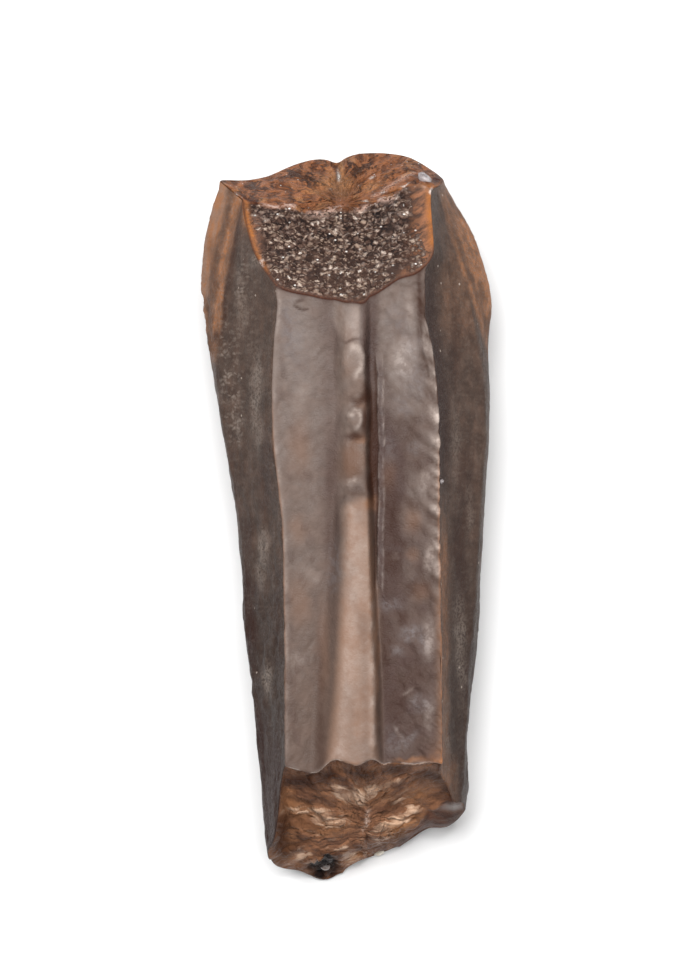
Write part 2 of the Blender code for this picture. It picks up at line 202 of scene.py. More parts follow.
# A painted sheen: blue-grey reflections laid into the enamel's colour
SHEEN_MARKS = [
    (3.1, 7.9, 0.55, 1.1, -15, 0.8), (2.5, 9.7, 0.5, 0.7, 0, 0.45), (1.25, 8.4, 0.2, 1.6, 0, 0.4),
    (2.3, -1.6, 0.3, 0.2, 0, 0.5),
    (2.2, -4.3, 0.5, 0.35, 0, 0.6), (3.2, -5.7, 0.55, 0.45, 20, 0.85), (2.5, -6.6, 0.35, 0.3, 0, 0.5),
    (3.6, -9.2, 0.5, 0.4, 0, 0.6),
    (2.4, -11.0, 0.6, 0.7, 0, 0.35), (-2.85, 9.4, 0.4, 1.3, 0, 0.4), (-0.6, -2.5, 0.3, 1.3, 0, 0.6),
    (2.9, 5.4, 0.5, 0.6, 0, 0.4),
    (2.1, 3.5, 0.4, 0.7, 0, 0.3), (3.3, 3.4, 0.35, 0.3, -30, 0.4), (3.5, 6.7, 0.4, 0.7, 0, 0.4),
    (-2.3, 8.2, 0.6, 1.5, 0, 0.25),
    (3.1, -10.9, 0.45, 0.25, 20, 0.5), (3.9, -6.2, 0.3, 0.5, 0, 0.5),
]
# Pale patches and painted highlights of the crest and the plates
PALE_AND_HIGHLIGHT_MARKS = [
    (0.4, 9.45, 0.35, 0.85, 0, 0.25), (0.4, -2.6, 0.5, 1.8, 0, 0.2),
    (0.3, 5.1, 0.2, 0.14, 0, 0.5),
    (0.3, 1.75, 0.45, 0.12, 0, 0.5), (3.9, 1.8, 0.25, 0.7, 0, 0.3), (4.1, -1.9, 0.25, 0.7, 0, 0.5),
    (3.1, 10.2, 0.3, 0.7, 0, 0.3), (2.8, 7.7, 0.6, 0.9, -10, 0.4), (-2.2, 6.0, 0.4, 0.7, -30, 0.15),
    (-1.7, -2.9, 0.5, 0.3, -40, 0.2), (-2.3, -7.0, 0.5, 0.35, -40, 0.15),
    (4.1, -6.0, 0.3, 0.9, 0, 0.35), (4.1, -9.6, 0.25, 1.0, 0, 0.2), (2.4, -1.9, 0.2, 0.14, 0, 0.4),
    (3.0, -8.6, 0.3, 0.07, 35, 0.3), (2.6, -10.7, 0.1, 0.4, 30, 0.2), (3.9, 8.6, 0.12, 0.8, 8, 0.45),
]

# Tints of the flanks, in the same form
FLANK_PALE_MARKS = [
    (-4.46, 6.2, 0.26, 1.9, -4, 0.7), (-4.3, 4.1, 0.2, 1.0, 0, 0.5), (-4.1, -1.6, 0.3, 1.0, 0, 0.75),
    (-4.25, -2.9, 0.25, 0.8, 0, 0.6),
    (-3.9, -8.0, 0.22, 0.8, 0, 0.9), (-3.6, -14.0, 0.15, 0.8, 0, 0.4), (5.4, 3.4, 0.28, 2.4, 0, 0.35),
    (-5.2, 10.4, 0.3, 1.6, 0, 0.3),
    (5.7, -6, 0.3, 3.0, 3, 0.5), (5.0, -11.0, 0.2, 2.0, 0, 0.4), (6.1, 0.5, 0.2, 1.6, 0, 0.35),
    (-4.45, 12.75, 0.26, 0.35, 0, 1.0),
]
FLANK_DARK_MARKS = [
    (-4.9, -6.0, 0.5, 2.0, 0, 0.9), (-5.1, -3.4, 0.4, 1.2, 0, 0.75), (-4.3, -11.5, 0.5, 2.4, 0, 0.85),
    (-4.0, 2.0, 0.3, 2.4, 0, 0.5), (5.6, -2.0, 0.4, 2.6, 0, 0.6),
    (6.3, -8.0, 0.3, 2.6, 0, 0.5), (-5.7, 1.5, 0.4, 1.8, 0, 0.5), (-3.35, -5.0, 0.12, 3.0, 0, 0.5),
    (-4.9, -1.0, 0.3, 1.2, 0, 0.5),
    (-4.6, -3.6, 0.3, 0.5, 20, 0.6), (-3.75, -14.6, 0.7, 2.8, 0, 0.9), (-3.45, -12.0, 0.25, 1.5, 0, 0.9),
    (5.9, 2.0, 0.5, 2.0, 0, 0.4), (5.4, 8.0, 0.3, 2.4, 0, 0.45),
    (-6.6, 12.4, 0.2, 1.6, 10, 0.4), (-6.9, 10.4, 0.2, 0.7, 20, 0.6), (-6.5, 9.0, 0.3, 0.5, -20, 0.6),
]
FLANK_VEIN = [(-5.75, 6.1), (-5.5, 5.5), (-5.65, 5.0), (-5.35, 4.6), (-5.45, 4.2), (-5.2, 3.7)]
FLECK_MARKS = [
    (-5.85, 7.4, 0.55, 2.4, 3, 1.0), (-5.4, 4.6, 0.4, 1.4, 0, 0.7), (-5.1, 12.0, 0.6, 1.6, 0, 0.5),
    (-4.9, 9.0, 0.6, 2.0, 0, 0.3)
]
# Pale slivers and patches of the fracture, with a painted highlight along the lit ledge
ROOT_PALE_AND_HIGHLIGHT_MARKS = [
    (-2.0, -14.66, 1.5, 0.2, -4, 0.9), (-0.9, -15.15, 1.3, 0.4, -12, 0.6), (-1.2, -15.95, 1.4, 0.2, -6, 0.45),
    (-0.1, -13.9, 0.9, 0.4, -35, 0.9), (1.3, -13.75, 0.65, 0.4, 10, 1.0), (0.7, -14.0, 0.5, 0.3, -30, 0.8),
    (3.1, -14.0, 0.9, 0.5, 25, 0.45),
    (2.5, -15.2, 1.2, 0.35, 30, 0.9), (1.8, -16.2, 0.5, 0.25, 10, 0.85), (-2.2, -17.1, 0.6, 0.4, -10, 0.8),
    (0.3, -17.1, 0.5, 0.4, 20, 0.8),
    (-0.3, -16.7, 0.5, 0.12, 0, 0.6), (2.6, -13.1, 0.5, 0.2, 20, 0.4), (0.4, -13.5, 1.2, 0.3, 0, 0.4),
    (3.3, -14.6, 0.8, 0.2, 25, 0.7),
]
ROOT_WARM_MARKS = [
    (-2.5, -14.5, 1.0, 0.4, -5, 0.7), (2.9, -15.35, 1.0, 0.45, 30, 0.9), (-3.1, -17.2, 0.7, 0.3, -20, 0.7),
    (-1.2, -15.3, 1.4, 0.6, 0, 0.6),
    (4.4, -13.0, 0.9, 0.35, -10, 0.5), (0.3, -17.3, 0.6, 0.3, 0, 0.8), (-3.0, -16.0, 0.5, 0.8, 0, 0.4),
    (3.6, -13.9, 0.7, 0.5, 30, 0.5),
    (-2.9, -13.9, 0.5, 0.5, 0, 0.5), (0.9, -13.8, 1.4, 0.5, 0, 0.5),
]
# Dark patches of the fracture, with painted shade in the recess under the enamel's broken edge
ROOT_DARK_AND_SHADE_MARKS = [
    (-2.3, -13.0, 1.2, 0.4, 0, 0.95), (-0.8, -12.75, 0.7, 0.35, -20, 0.9), (0.9, -12.6, 0.7, 0.35, 0, 0.85),
    (2.3, -12.45, 0.6, 0.25, 0, 0.8),
    (4.3, -12.85, 0.9, 0.42, -8, 0.95), (-3.3, -15.8, 0.5, 1.1, 0, 0.85), (1.06, -16.15, 0.12, 0.15, 0, 1.0),
    (-0.6, -16.95, 0.7, 0.22, 0, 0.7),
    (5.4, -15.2, 0.5, 0.45, 0, 0.9), (4.4, -15.4, 0.8, 0.25, 30, 0.5), (-1.0, -15.35, 1.0, 0.3, -10, 0.4),
    (0.4, -14.5, 0.7, 0.12, -25, 0.5), (2.1, -14.55, 0.5, 0.16, 25, 0.5), (-2.4, -16.4, 0.6, 0.3, 0, 0.6),
    (5.3, -13.7, 0.7, 0.3, -20, 0.75),
    (-1.2, -13.95, 0.6, 0.12, -20, 0.5), (-3.2, -17.0, 0.5, 0.5, 0, 0.6), (-2.2, -15.35, 1.1, 0.3, -8, 0.5),
    (3.4, -15.0, 0.7, 0.1, 25, 0.4),
]

# --- Crown end --------------------------------------------------------------------------------

WEAR_FRONT = [
    (-5.5, 11.2), (-4.4, 11.2), (-3.45, 11.36), (-2.75, 11.17), (-1.76, 11.0), (-0.98, 10.8), (0.3, 10.75),
    (0.94, 10.72),
    (1.43, 10.9), (2.02, 11.3), (2.56, 11.7), (3.54, 12.1), (3.98, 12.5), (4.6, 12.9),
]
WEAR_SLOPE = 1.16
END_FOOT = [
    (-6.4, 18.4), (-4.85, 17.88), (-3.85, 17.9), (-2.8, 18.28), (-1.8, 18.45), (-0.8, 18.38), (0.2, 18.53),
    (1.2, 18.7), (2.2, 18.9), (3.2, 18.85), (4.2, 18.52), (5.3, 18.3),
]
END_SLOPE = [
    (-5.5, 0.32), (-4.3, 0.324), (-3.28, 0.37), (-1.94, 0.456), (-0.6, 0.448), (0.6, 0.484), (1.74, 0.451),
    (2.39, 0.419), (2.74, 0.378), (3.93, 0.305), (5, 0.31),
]
CREASE_RADIUS = 0.06
SUTURE_X = -0.45
SUTURE_DEPTH = 0.3
SUTURE_WIDTH = 0.4
SUTURE_RISE = 3.2
CROWN_FOCUS = (-0.15, 6.3)

# --- Root end ---------------------------------------------------------------------------------

ROOT_FRONT = [  # (x, y) of the enamel's broken edge
    (-3.1, -12.23), (-2.26, -12.48), (-1.42, -12.58), (-0.63, -11.94), (-0.05, -12.03), (0.54, -12.23),
    (1.28, -11.9), (1.67, -12.05), (2.16, -11.96), (3.4, -12.13), (4.2, -12.05), (4.9, -12.2),
]
ROOT_FRONT_MEAN = -12.2
ROOT_FRONT_FADE = 0.9
ROOT_STEPS = [(0, 0), (3, 1.5), (4.4, 2.4), (6.2, 4.4), (8, 5.15), (10.8, 5.85)]
ROOT_SHARE = [
    (-4.3, 1.18), (-3.5, 1.1), (-2.5, 1.05), (-0.8, 1.1), (0.2, 0.97), (1.2, 0.9), (3.2, 0.76), (4.2, 0.66),
    (5.2, 0.68), (6, 0.6),
]
# (depth, length) past the left margin
ROOT_LEFT_STEP = [(0, 0), (1, 1.1), (2.2, 2.1), (3.7, 2.1), (5, 1.4), (6.2, 0)]
ROOT_RIGHT_STEP = [(0, 0), (1, 0.6), (2.2, 1.0), (3.7, 0.8), (5, 0.4), (6.2, 0)]
ROOT_FOCUS = (1.1, 3.4)
ROOT_FAN = (1.05, -15.7)
ROOT_FOLD = 2.2
ROOT_SEAM = [(-14.2, 1.2), (-15.2, 1.05), (-16.0, 0.8), (-16.8, 0.9)]  # (y, x) of the seam below it
LOBE_EDGE = [(2.3, -16.6), (2.56, -16.4), (3.37, -15.66), (4.07, -14.86), (5.5, -14.1), (6.5, -13.9)]
LEDGE_Y = -14.75
CROWN_FAN = (-0.15, 15.7)
# Painted glints, laid into the colour of the crown's end
GLINT_MARKS = [  # bright sparks of the crown's end
    (-0.4, 17.2, 0.07, 0.24, 0, 1.0), (4.2, 16.3, 0.08, 0.16, -30, 0.9), (-5.45, 16.1, 0.07, 0.07, 0, 0.9),
    (2.9, 16.55, 0.25, 0.04, 30, 0.8),
    (-5.9, 15.5, 0.08, 0.08, 0, 0.8), (1.3, 17.0, 0.1, 0.07, 20, 0.7), (-4.2, 12.4, 0.08, 0.3, 0, 0.5),
    (0.9, 15.75, 0.14, 0.04, 10, 0.6),
    (1.9, 16.1, 0.12, 0.05, 20, 0.7),
]
CROWN_CRACKS = [(-4.95, 15.85, 0.75, 0.13, -20, 0.95), (4.55, 16.85, 0.3, 0.3, 0, 0.95)]
END_WARM_MARKS = [
    (-0.25, 17.7, 0.2, 0.6, 0, 1.0), (-0.5, 16.8, 0.8, 0.4, 0, 0.7), (-0.3, 16.3, 0.5, 0.3, 0, 0.35),
    (-1.6, 16.3, 0.6, 0.2, -20, 0.5), (1.2, 16.6, 0.6, 0.25, 25, 0.5), (3.7, 16.2, 0.4, 0.3, 0, 0.6),
]
END_DARK_MARKS = [
    (-2.2, 17.1, 0.8, 0.45, -20, 1.0), (0.7, 17.5, 0.7, 0.35, 10, 1.0), (3.0, 17.6, 0.7, 0.3, -10, 0.6),
    (-4.4, 16.5, 1.0, 0.3, 20, 0.6), (4.55, 16.8, 0.35, 0.3, 0, 0.95),
]
# (y, x) of the rusty band's edge
LEFT_BAND = [(16, -5.35), (14, -5.75), (11.8, -6.15), (9.3, -6.45), (8, -6.6)]
RIGHT_BAND = [(16, 4.6), (13.8, 5.15), (11.3, 6.0), (8.3, 6.9), (6.8, 7.2)]
END_VEIN = [(1.3, 15.9), (2.45, 16.6), (3.4, 17.15)]

# --- Density of the surface -------------------------------------------------------------------

STRETCHES = [  # (name, columns, bulge, how far its columns crowd towards its two edges)
    ("left plate", 28, 0.05, 0.4),
    ("ridge left", 24, 0.0, 0.0),
    ("ridge right", 14, 0.0, 0.0),
    ("right plate", 52, -0.02, 0.45),
    ("right flank", 36, -0.5, 0.5),
    ("right strip", 14, 0.05, 0.2),
    ("right back", 28, 0.55, 0.0),
    ("flat back", 18, 0.0, 0.0),
    ("left back", 28, 0.55, 0.0),
    ("left strip", 14, 0.05, 0.2),
    ("left flank", 36, -0.12, 0.5),
]
FACE_STRETCHES = ("left plate", "ridge left", "ridge right", "right plate")
STRETCH_NAMES = [name for name, _, _, _ in STRETCHES]
STRETCH_OF = np.repeat(np.arange(len(STRETCHES)), [count for _, count, _, _ in STRETCHES])
SHARE_OF = np.concatenate([
    np.arange(count) / count - crowd * np.sin(2 * np.pi * np.arange(count) / count) / (2 * np.pi)
    for _, count, _, crowd in STRETCHES
])
SIDE_ROWS = 206
SIDE_CROWDING = 0.4
CROWN_ROWS = 84
ROOT_ROWS = 46
ROOT_LEAN = 10.0
CROWN_LEAN = 8.0
SIDE_LOW, SIDE_HIGH = -12.3, 11.0
TRIM_ROUNDS = 18

# --- Stage --------------------------------------------------------------------------------------

CAMERA_DISTANCE = 0.300
CAMERA_FOCAL_MM = 220.4
CAMERA_AIM = (0.2, 1.325, 5.5)  # in the tooth's own millimetres, before it is centred
SENSOR_MM = 36.0
CAMERA_SEES = (0.01, 10.0)  # nearest and farthest, in metres
FLOOR_SIZE = 3.0
QUARTZ_IOR = 1.54


# --- Lines and noise, on whole arrays -----------------------------------------------------------


def line(knots, place):
    """A smooth line through (place, value) knots: cubic pieces that share slopes, level past the ends."""
    at, value = np.array(sorted(knots), float).T
    slope = np.gradient(value, at)
    piece = np.clip(np.searchsorted(at, place) - 1, 0, len(at) - 2)
    step = at[piece + 1] - at[piece]
    t = np.clip((place - at[piece]) / step, 0, 1)
    from_start = (1 + 2 * t) * (1 - t) ** 2 * value[piece] + t * (1 - t) ** 2 * step * slope[piece]
    to_end = t * t * (3 - 2 * t) * value[piece + 1] - t * t * (1 - t) * step * slope[piece + 1]
    return from_start + to_end


def straight_line(knots, place):
    """Straight pieces through (place, value) knots."""
    at, value = np.array(sorted(knots), float).T
    return np.interp(place, at, value)


def smooth_step(low, high, value):
    """0 below low, 1 above high, and 3t² - 2t³ between."""
    t = np.clip((value - low) / (high - low), 0, 1)
    return t * t * (3 - 2 * t)


def bump_at(value, centre, width):
    """A bell: e to the minus square of the distance from the centre, in widths."""
    return np.exp(-(((value - centre) / width) ** 2))


def highest(*values):
    """The greatest of the values at each place."""
    return functools.reduce(np.maximum, values)


def scattered(ix, iy, iz, seed):
    """A number from 0 to 1 for each whole-number place: its coordinates mixed as 32-bit numbers."""
    mixed = (ix * 374761393 + iy * 668265263 + iz * 1442695041 + seed * 974634777) & 0xFFFFFFFF
    mixed = ((mixed ^ (mixed >> 13)) * 1274126177) & 0xFFFFFFFF
    mixed = ((mixed ^ (mixed >> 16)) * 2246822519) & 0xFFFFFFFF
    return (mixed ^ (mixed >> 15)) / 4294967296.0


def noise(x, y, z=0.0, seed=0):
    """Smooth noise from -1 to 1: random values at whole-number places, blended between by 3t² - 2t³."""
    x, y, z = np.broadcast_arrays(*(np.asarray(value, float) for value in (x, y, z)))
    corner = [np.floor(value).astype(np.int64) for value in (x, y, z)]
    part = [value - whole for value, whole in zip((x, y, z), corner)]
    part = [t * t * (3 - 2 * t) for t in part]
    total = np.zeros(x.shape)
    for dx in (0, 1):
        for dy in (0, 1):
            for dz in (0, 1):
                weight = (part[0] if dx else 1 - part[0]) * (part[1] if dy else 1 - part[1])
                weight = weight * (part[2] if dz else 1 - part[2])
                total += weight * scattered(corner[0] + dx, corner[1] + dy, corner[2] + dz, seed)
    return 2 * total - 1


def rough(x, y, z=0.0, seed=0, octaves=4):
    """Noise summed over octaves, each twice as fine and half as strong as the last, from about -1 to 1."""
    total, strength = 0.0, 0.5
    for octave in range(octaves):
        scale = 2.0**octave
        total = total + strength * noise(x * scale, y * scale, z * scale, seed + octave)
        strength /= 2
    return total * 1.4


def cells(x, y, z=0.0, seed=0):
    """One random point in each unit cube: the nearest's distance, the gap to the second, its number."""
    x, y, z = np.broadcast_arrays(*(np.asarray(value, float) for value in (x, y, z)))
    ix, iy, iz = (np.floor(value).astype(np.int64) for value in (x, y, z))
    nearest, second, number = np.full(x.shape, 9.0), np.full(x.shape, 9.0), np.zeros(x.shape)
    for step in np.ndindex(3, 3, 3):
        jx, jy, jz = ix + step[0] - 1, iy + step[1] - 1, iz + step[2] - 1
        away = np.sqrt(
            (x - jx - scattered(jx, jy, jz, seed)) ** 2
            + (y - jy - scattered(jx, jy, jz, seed + 1)) ** 2
            + (z - jz - scattered(jx, jy, jz, seed + 2)) ** 2
        )
        closer = away < nearest
        second = np.where(closer, nearest, np.minimum(second, away))
        number = np.where(closer, scattered(jx, jy, jz, seed + 3), number)
        nearest = np.where(closer, away, nearest)
    return nearest, second - nearest, number


def path_distance(x, y, path):
    """Distance from each point to the nearest of the path's straight pieces."""
    away = np.full(x.shape, 1e9)
    for (x0, y0), (x1, y1) in zip(path, path[1:]):
        dx, dy = x1 - x0, y1 - y0
        t = np.clip(((x - x0) * dx + (y - y0) * dy) / (dx * dx + dy * dy), 0, 1)
        away = np.minimum(away, np.hypot(x - x0 - t * dx, y - y0 - t * dy))
    return away


# --- The plain form of the tooth -----------------------------------------------------------------


def face_height(y):
    """The enamel face's height: level, its ends raised by the square of the distance from the middle."""
    return FACE_HEIGHT + FACE_BOW * (y / FACE_HALF_LENGTH) ** 2


def corners(y):
    """(x, z) of each corner of the section at y, from the left margin over the face and round the back."""
    face, crest, back = face_height(y), line(RIDGE_CREST, y), straight_line(BACK_HEIGHT, y)
    edge, widest = np.full_like(y, FLANK_EDGE_HEIGHT), np.full_like(y, WIDEST_HEIGHT)
    return [
        (line(LEFT_MARGIN, y), face - 0.1),
        (crest - line(RIDGE_LEFT_HALF, y), face - line(LEFT_TROUGH_DEPTH, y)),
        (crest, face + line(RIDGE_HEIGHT, y)),
        (crest + line(RIDGE_RIGHT_HALF, y), face - line(RIGHT_TROUGH_DEPTH, y)),
        (line(RIGHT_MARGIN, y), face - 0.1),
        (line(RIGHT_FLANK_EDGE, y), edge),
        (line(RIGHT_WIDEST, y), widest),
        (line(RIGHT_BACK_EDGE, y), back),
        (line(LEFT_BACK_EDGE, y), back),
        (line(LEFT_WIDEST, y), widest),
        (line(LEFT_FLANK_EDGE, y), edge),
    ]


def section(y):
    """(x, z) of the columns, each at its own y (the last axis of y holds the columns).

    Between two corners a column lies at its share of the straight line, pushed out by the bulge times
    4t(1 - t). The ridge's two sides rise by half a cosine wave to a level crown instead.
    """
    x, z = np.empty_like(y), np.empty_like(y)
    for index, (name, _, bulge, _) in enumerate(STRETCHES):
        mine = STRETCH_OF == index
        places = corners(y[..., mine])
        (x0, z0), (x1, z1) = places[index], places[(index + 1) % len(places)]
        t = np.broadcast_to(SHARE_OF[mine], x0.shape)
        rise = t
        if name == "ridge left":
            rise = (1 - np.cos(np.pi * np.clip(t / RIDGE_CROWN_LEFT, 0, 1))) / 2
        if name == "ridge right":
            rise = 1 - (1 - np.cos(np.pi * np.clip((1 - t) / RIDGE_CROWN_RIGHT, 0, 1))) / 2
        out = bulge * 4 * t * (1 - t) / np.hypot(x1 - x0, z1 - z0)
        x[..., mine] = x0 + t * (x1 - x0) - out * (z1 - z0)
        z[..., mine] = z0 + rise * (z1 - z0) + out * (x1 - x0)
    return x, z


def wear_facet(x, z):
    """y of the wear facet: its front edge's y, plus the slope times the depth below the enamel face."""
    return line(WEAR_FRONT, x) + WEAR_SLOPE * (FACE_HEIGHT - z)


def end_face(x, z):
    """y of the end face: its foot's y, less slope times height, less a bell-shaped suture notch low down."""
    notch = SUTURE_DEPTH * bump_at(x, SUTURE_X, SUTURE_WIDTH) * smooth_step(SUTURE_RISE + 2, SUTURE_RISE, z)
    return line(END_FOOT, x) - line(END_SLOPE, x) * z - notch


def crown_end(x, z):
    """y of the crown's end: the lower of the wear facet and the end face, rounded where they meet."""
    wear, end = wear_facet(x, z), end_face(x, z)
    return (wear + end) / 2 - np.hypot((wear - end) / 2, CREASE_RADIUS)


def root_end(x, z):
    """y of the root's fracture: the broken edge, less a stepped fall with depth, longer past each margin."""
    depth = np.clip(FACE_HEIGHT - z, 0, None)
    front = ROOT_FRONT_MEAN + (line(ROOT_FRONT, x) - ROOT_FRONT_MEAN) * np.exp(-depth / ROOT_FRONT_FADE)
    left = smooth_step(-2.9, -3.5, x) * line(ROOT_LEFT_STEP, depth)
    right = smooth_step(4.9, 5.4, x) * line(ROOT_RIGHT_STEP, depth)
    return front - line(ROOT_SHARE, x) * line(ROOT_STEPS, depth) - left - right


def trimmed(end, start):
    """The y at which each column meets an end surface, found by repeated substitution with halved steps."""
    y = np.full(len(STRETCH_OF), start, float)
    for _ in range(TRIM_ROUNDS):
        y = (y + end(*section(y))) / 2
    return y


def side_rows():
    """The rows of the sides: y is level in the middle, and leans in proportion to the two trimmed ends."""
    low, high = trimmed(root_end, -15.0), trimmed(crown_end, 14.0)
    t = np.linspace(0, 1, SIDE_ROWS)
    t = t - SIDE_CROWDING * np.sin(2 * np.pi * t) / (2 * np.pi)
    place = (SIDE_LOW + (SIDE_HIGH - SIDE_LOW) * t)[:, None]
    root_share = np.clip(1 - (place - SIDE_LOW) / ROOT_LEAN, 0, 1)
    crown_share = np.clip(1 - (SIDE_HIGH - place) / CROWN_LEAN, 0, 1)
    y = place + (low - SIDE_LOW) * root_share + (high - SIDE_HIGH) * crown_share
    x, z = section(y)
    return np.stack([x, y, z], axis=-1)


def end_rows(rim, end, focus, count):
    """Rows of an end: the rim's (x, z) drawn in to the focus by equal shares, with y from the end surface."""
    share = np.linspace(1, 0, count + 1)[1:-1, None]
    x = focus[0] + share * (rim[None, :, 0] - focus[0])
    z = focus[1] + share * (rim[None, :, 2] - focus[1])
    return np.stack([x, end(x, z), z], axis=-1)


def eased(points, amount, rounds, axis):
    """Each point moved part of the way to the middle of its neighbours, some rounds over. amount may vary."""
    for _ in range(rounds):
        if axis == 0:
            middle = points.copy()
            middle[1:-1] = (points[:-2] + points[2:]) / 2
        else:
            middle = (np.roll(points, 1, axis=1) + np.roll(points, -1, axis=1)) / 2
        points = points + amount * (middle - points)
    return points


def plain_tooth():
    """The whole grid of rows and columns before relief, and the rows at which the sides start and stop."""
    sides = side_rows()
    root = end_rows(sides[0], root_end, ROOT_FOCUS, ROOT_ROWS)[::-1]
    crown = end_rows(sides[-1], crown_end, CROWN_FOCUS, CROWN_ROWS)
    points = np.concatenate([root, sides, crown])
    first, last = len(root), len(root) + len(sides) - 1
    points = eased(points, 0.5, 3, axis=1)
    row = np.arange(len(points))[:, None, None]
    near_rim = np.maximum(bump_at(row, first, 2.0), bump_at(row, last, 2.0))
    return eased(points, 0.45 * near_rim, 3, axis=0), first, last


def normals(points):
    """Unit normals of the grid: the step across the columns crossed with the step across the rows."""
    along = np.gradient(points, axis=0)
    round_it = np.roll(points, -1, axis=1) - np.roll(points, 1, axis=1)
    facing = np.cross(round_it, along)
    return facing / np.maximum(np.linalg.norm(facing, axis=-1, keepdims=True), 1e-12)


# --- Relief and masks of each zone ------------------------------------------------------------------


def in_stretches(*names):
    """1 for each column of the named stretches."""
    return np.isin(STRETCH_OF, [STRETCH_NAMES.index(name) for name in names])[None, :].astype(float)


def bell_marks(x, y, table, seed):
    """Placed marks, joined as 1 less the product of (1 - mark): bells in turned axes, shifted by noise."""
    moved_x = x + 0.14 * rough(x * 1.7, y * 1.7, seed=seed)
    moved_y = y + 0.2 * rough(x * 1.7, y * 1.7, seed=seed + 9)
    left_over = np.ones_like(x)
    for centre_x, centre_y, half_x, half_y, degrees, strength in table:
        c, s = np.cos(np.radians(degrees)), np.sin(np.radians(degrees))
        across = ((moved_x - centre_x) * c + (moved_y - centre_y) * s) / half_x
        along = ((moved_y - centre_y) * c - (moved_x - centre_x) * s) / half_y
        left_over = left_over * (1 - strength * np.exp(-((across**2 + along**2) ** 1.4)))
    return 1 - left_over


def plate_relief(x, y, lumps, from_margin, on_left, on_right, on_ridge):
    """Relief of the plates and the ridge: soft noise, crossed wrinkles, and swirls low at the right."""
    relief = 0.06 * lumps * (0.8 * on_left + 1.8 * on_right)
    relief += (
        0.065 * rough((x + y) / 0.32, (y - x) / 0.8, seed=11) * on_right * smooth_step(3.2, 1.2, from_margin)
    )
    relief += 0.03 * rough((x - 0.7 * y) / 0.22, (y + 0.7 * x) / 0.8, seed=17) * on_left
    relief += 0.055 * rough(x / 0.4, y / 0.35, seed=19) * on_right * smooth_step(0.0, -4.0, y)
    relief += 0.035 * rough(x / 0.45, y / 0.7, seed=21) * on_ridge
    swirl_bend = 3.0 * noise(x / 1.1, y / 1.3, seed=23)
    swirl = (
        np.sin(4.2 * (x * 0.6 + y) + 2.2 * swirl_bend) ** 4
        * smooth_step(0.0, 0.5, noise(x / 0.8, y / 0.8, seed=29))
    )
    swirl = swirl * on_right * smooth_step(-4.0, -6.0, y) * smooth_step(0.3, 0.8, from_margin)
    relief += 0.07 * swirl
    return relief


def bead_detail(x, y, lumps, from_margin, height_mm):
    """Relief and masks of the beads, the valleys between them and the scalloped edge above them.

    Each bead is a bell along the right-hand margin, drawn inwards and upwards as a wrinkle that fades
    with the distance from the margin.
    """
    bead = np.zeros_like(x)
    for centre, half, height in BEADS:
        along = (y - centre - BEAD_SLANT * from_margin) / (half * (1 + 0.3 * from_margin))
        reach = np.exp(-np.clip(from_margin, 0, None) * 3.2 / BEAD_REACH)
        bead = np.maximum(bead, height * np.exp(-(np.abs(along) ** 3)) * reach)
    bead = bead * smooth_step(-0.35, 0.05, from_margin) * smooth_step(1.5, 1.0, from_margin)
    relief = height_mm * bead
    valley = smooth_step(0.9, 0.3, from_margin) * smooth_step(0.25, 0.0, bead) * smooth_step(-4.3, -3.4, y)
    relief -= 0.05 * valley
    scallop = bump_at(from_margin, line(SCALLOP_REACH, y) + 0.05 * lumps, 0.12) * smooth_step(6.6, 7.4, y)
    relief -= 0.06 * scallop * smooth_step(10.4, 9.2, y)
    return relief, bead, valley, scallop


def thread_detail(x, y, height_mm):
    """Relief and masks of the thread, a flat-topped strip with soft edges and a groove at its left."""
    thread_ends = smooth_step(THREAD_ENDS[0] - 0.5, THREAD_ENDS[0] + 0.4, y)
    thread_ends = thread_ends * smooth_step(THREAD_ENDS[1] + 0.5, THREAD_ENDS[1] - 0.5, y)
    from_thread = x - line(THREAD_X, y) - 0.02 * np.sin(y * 2.1) - 0.015 * noise(y * 1.3, 0, seed=33)
    thread = (
        smooth_step(THREAD_HALF + THREAD_EDGE, THREAD_HALF - THREAD_EDGE, np.abs(from_thread)) * thread_ends
    )
    # Mask of the painted highlight along the thread's two edges
    thread_rim_highlight = bump_at(np.abs(from_thread), THREAD_HALF - 0.02, 0.04) * thread_ends
    groove = bump_at(from_thread, -THREAD_HALF - 0.07, 0.055) * thread_ends
    return height_mm * (thread - 0.6 * groove), thread, thread_rim_highlight, groove


def crest_detail(x, y, crest, from_left, on_ridge):
    """Relief and masks of the crest: two flattened bells, a cross crack, fine ripples and a nick."""
    relief = np.zeros_like(x)
    drop_rim_highlight = np.zeros_like(x)
    for centre_x, centre_y, half_x, half_y, height in CREST_BUMPS:
        narrow = 1 - 0.3 * smooth_step(0, -1, (y - centre_y) / half_y)
        shape = np.hypot((y - centre_y) / half_y, (x - centre_x) / (half_x * narrow))
        relief += height * (1 - smooth_step(0.4, 1.3, shape))
        # Mask of the painted highlight on each bell's right-hand rim
        drop_rim_highlight = np.maximum(
            drop_rim_highlight,
            bump_at(shape, 0.75, 0.24) * smooth_step(-0.25, 0.15, x - centre_x + 0.15 * (y - centre_y))
        )
    crack_y = CREST_CRACK_Y + 0.07 * noise(x * 2, 0, seed=31) - 0.25 * np.clip(crest - x, 0, 1)
    crack = bump_at(y, crack_y, 0.06) * on_ridge
    relief -= 0.09 * crack
    satin = smooth_step(8.55, 8.8, y) * smooth_step(0.62, 0.42, np.abs(x - 0.33))
    ripple = np.sin(2 * np.pi * (y + 0.25 * noise(x * 2.5, y * 2.5, seed=5)) / 0.24)
    relief += 0.012 * satin * ripple * (0.5 + 0.5 * noise(x * 4, y * 4, seed=6))
    relief += 0.03 * bump_at(from_left, 0.06, 0.1)
    nick = bump_at(path_distance(x, y, CREST_NICK), 0, 0.06)
    relief -= 0.05 * nick
    return relief, drop_rim_highlight, crack, nick


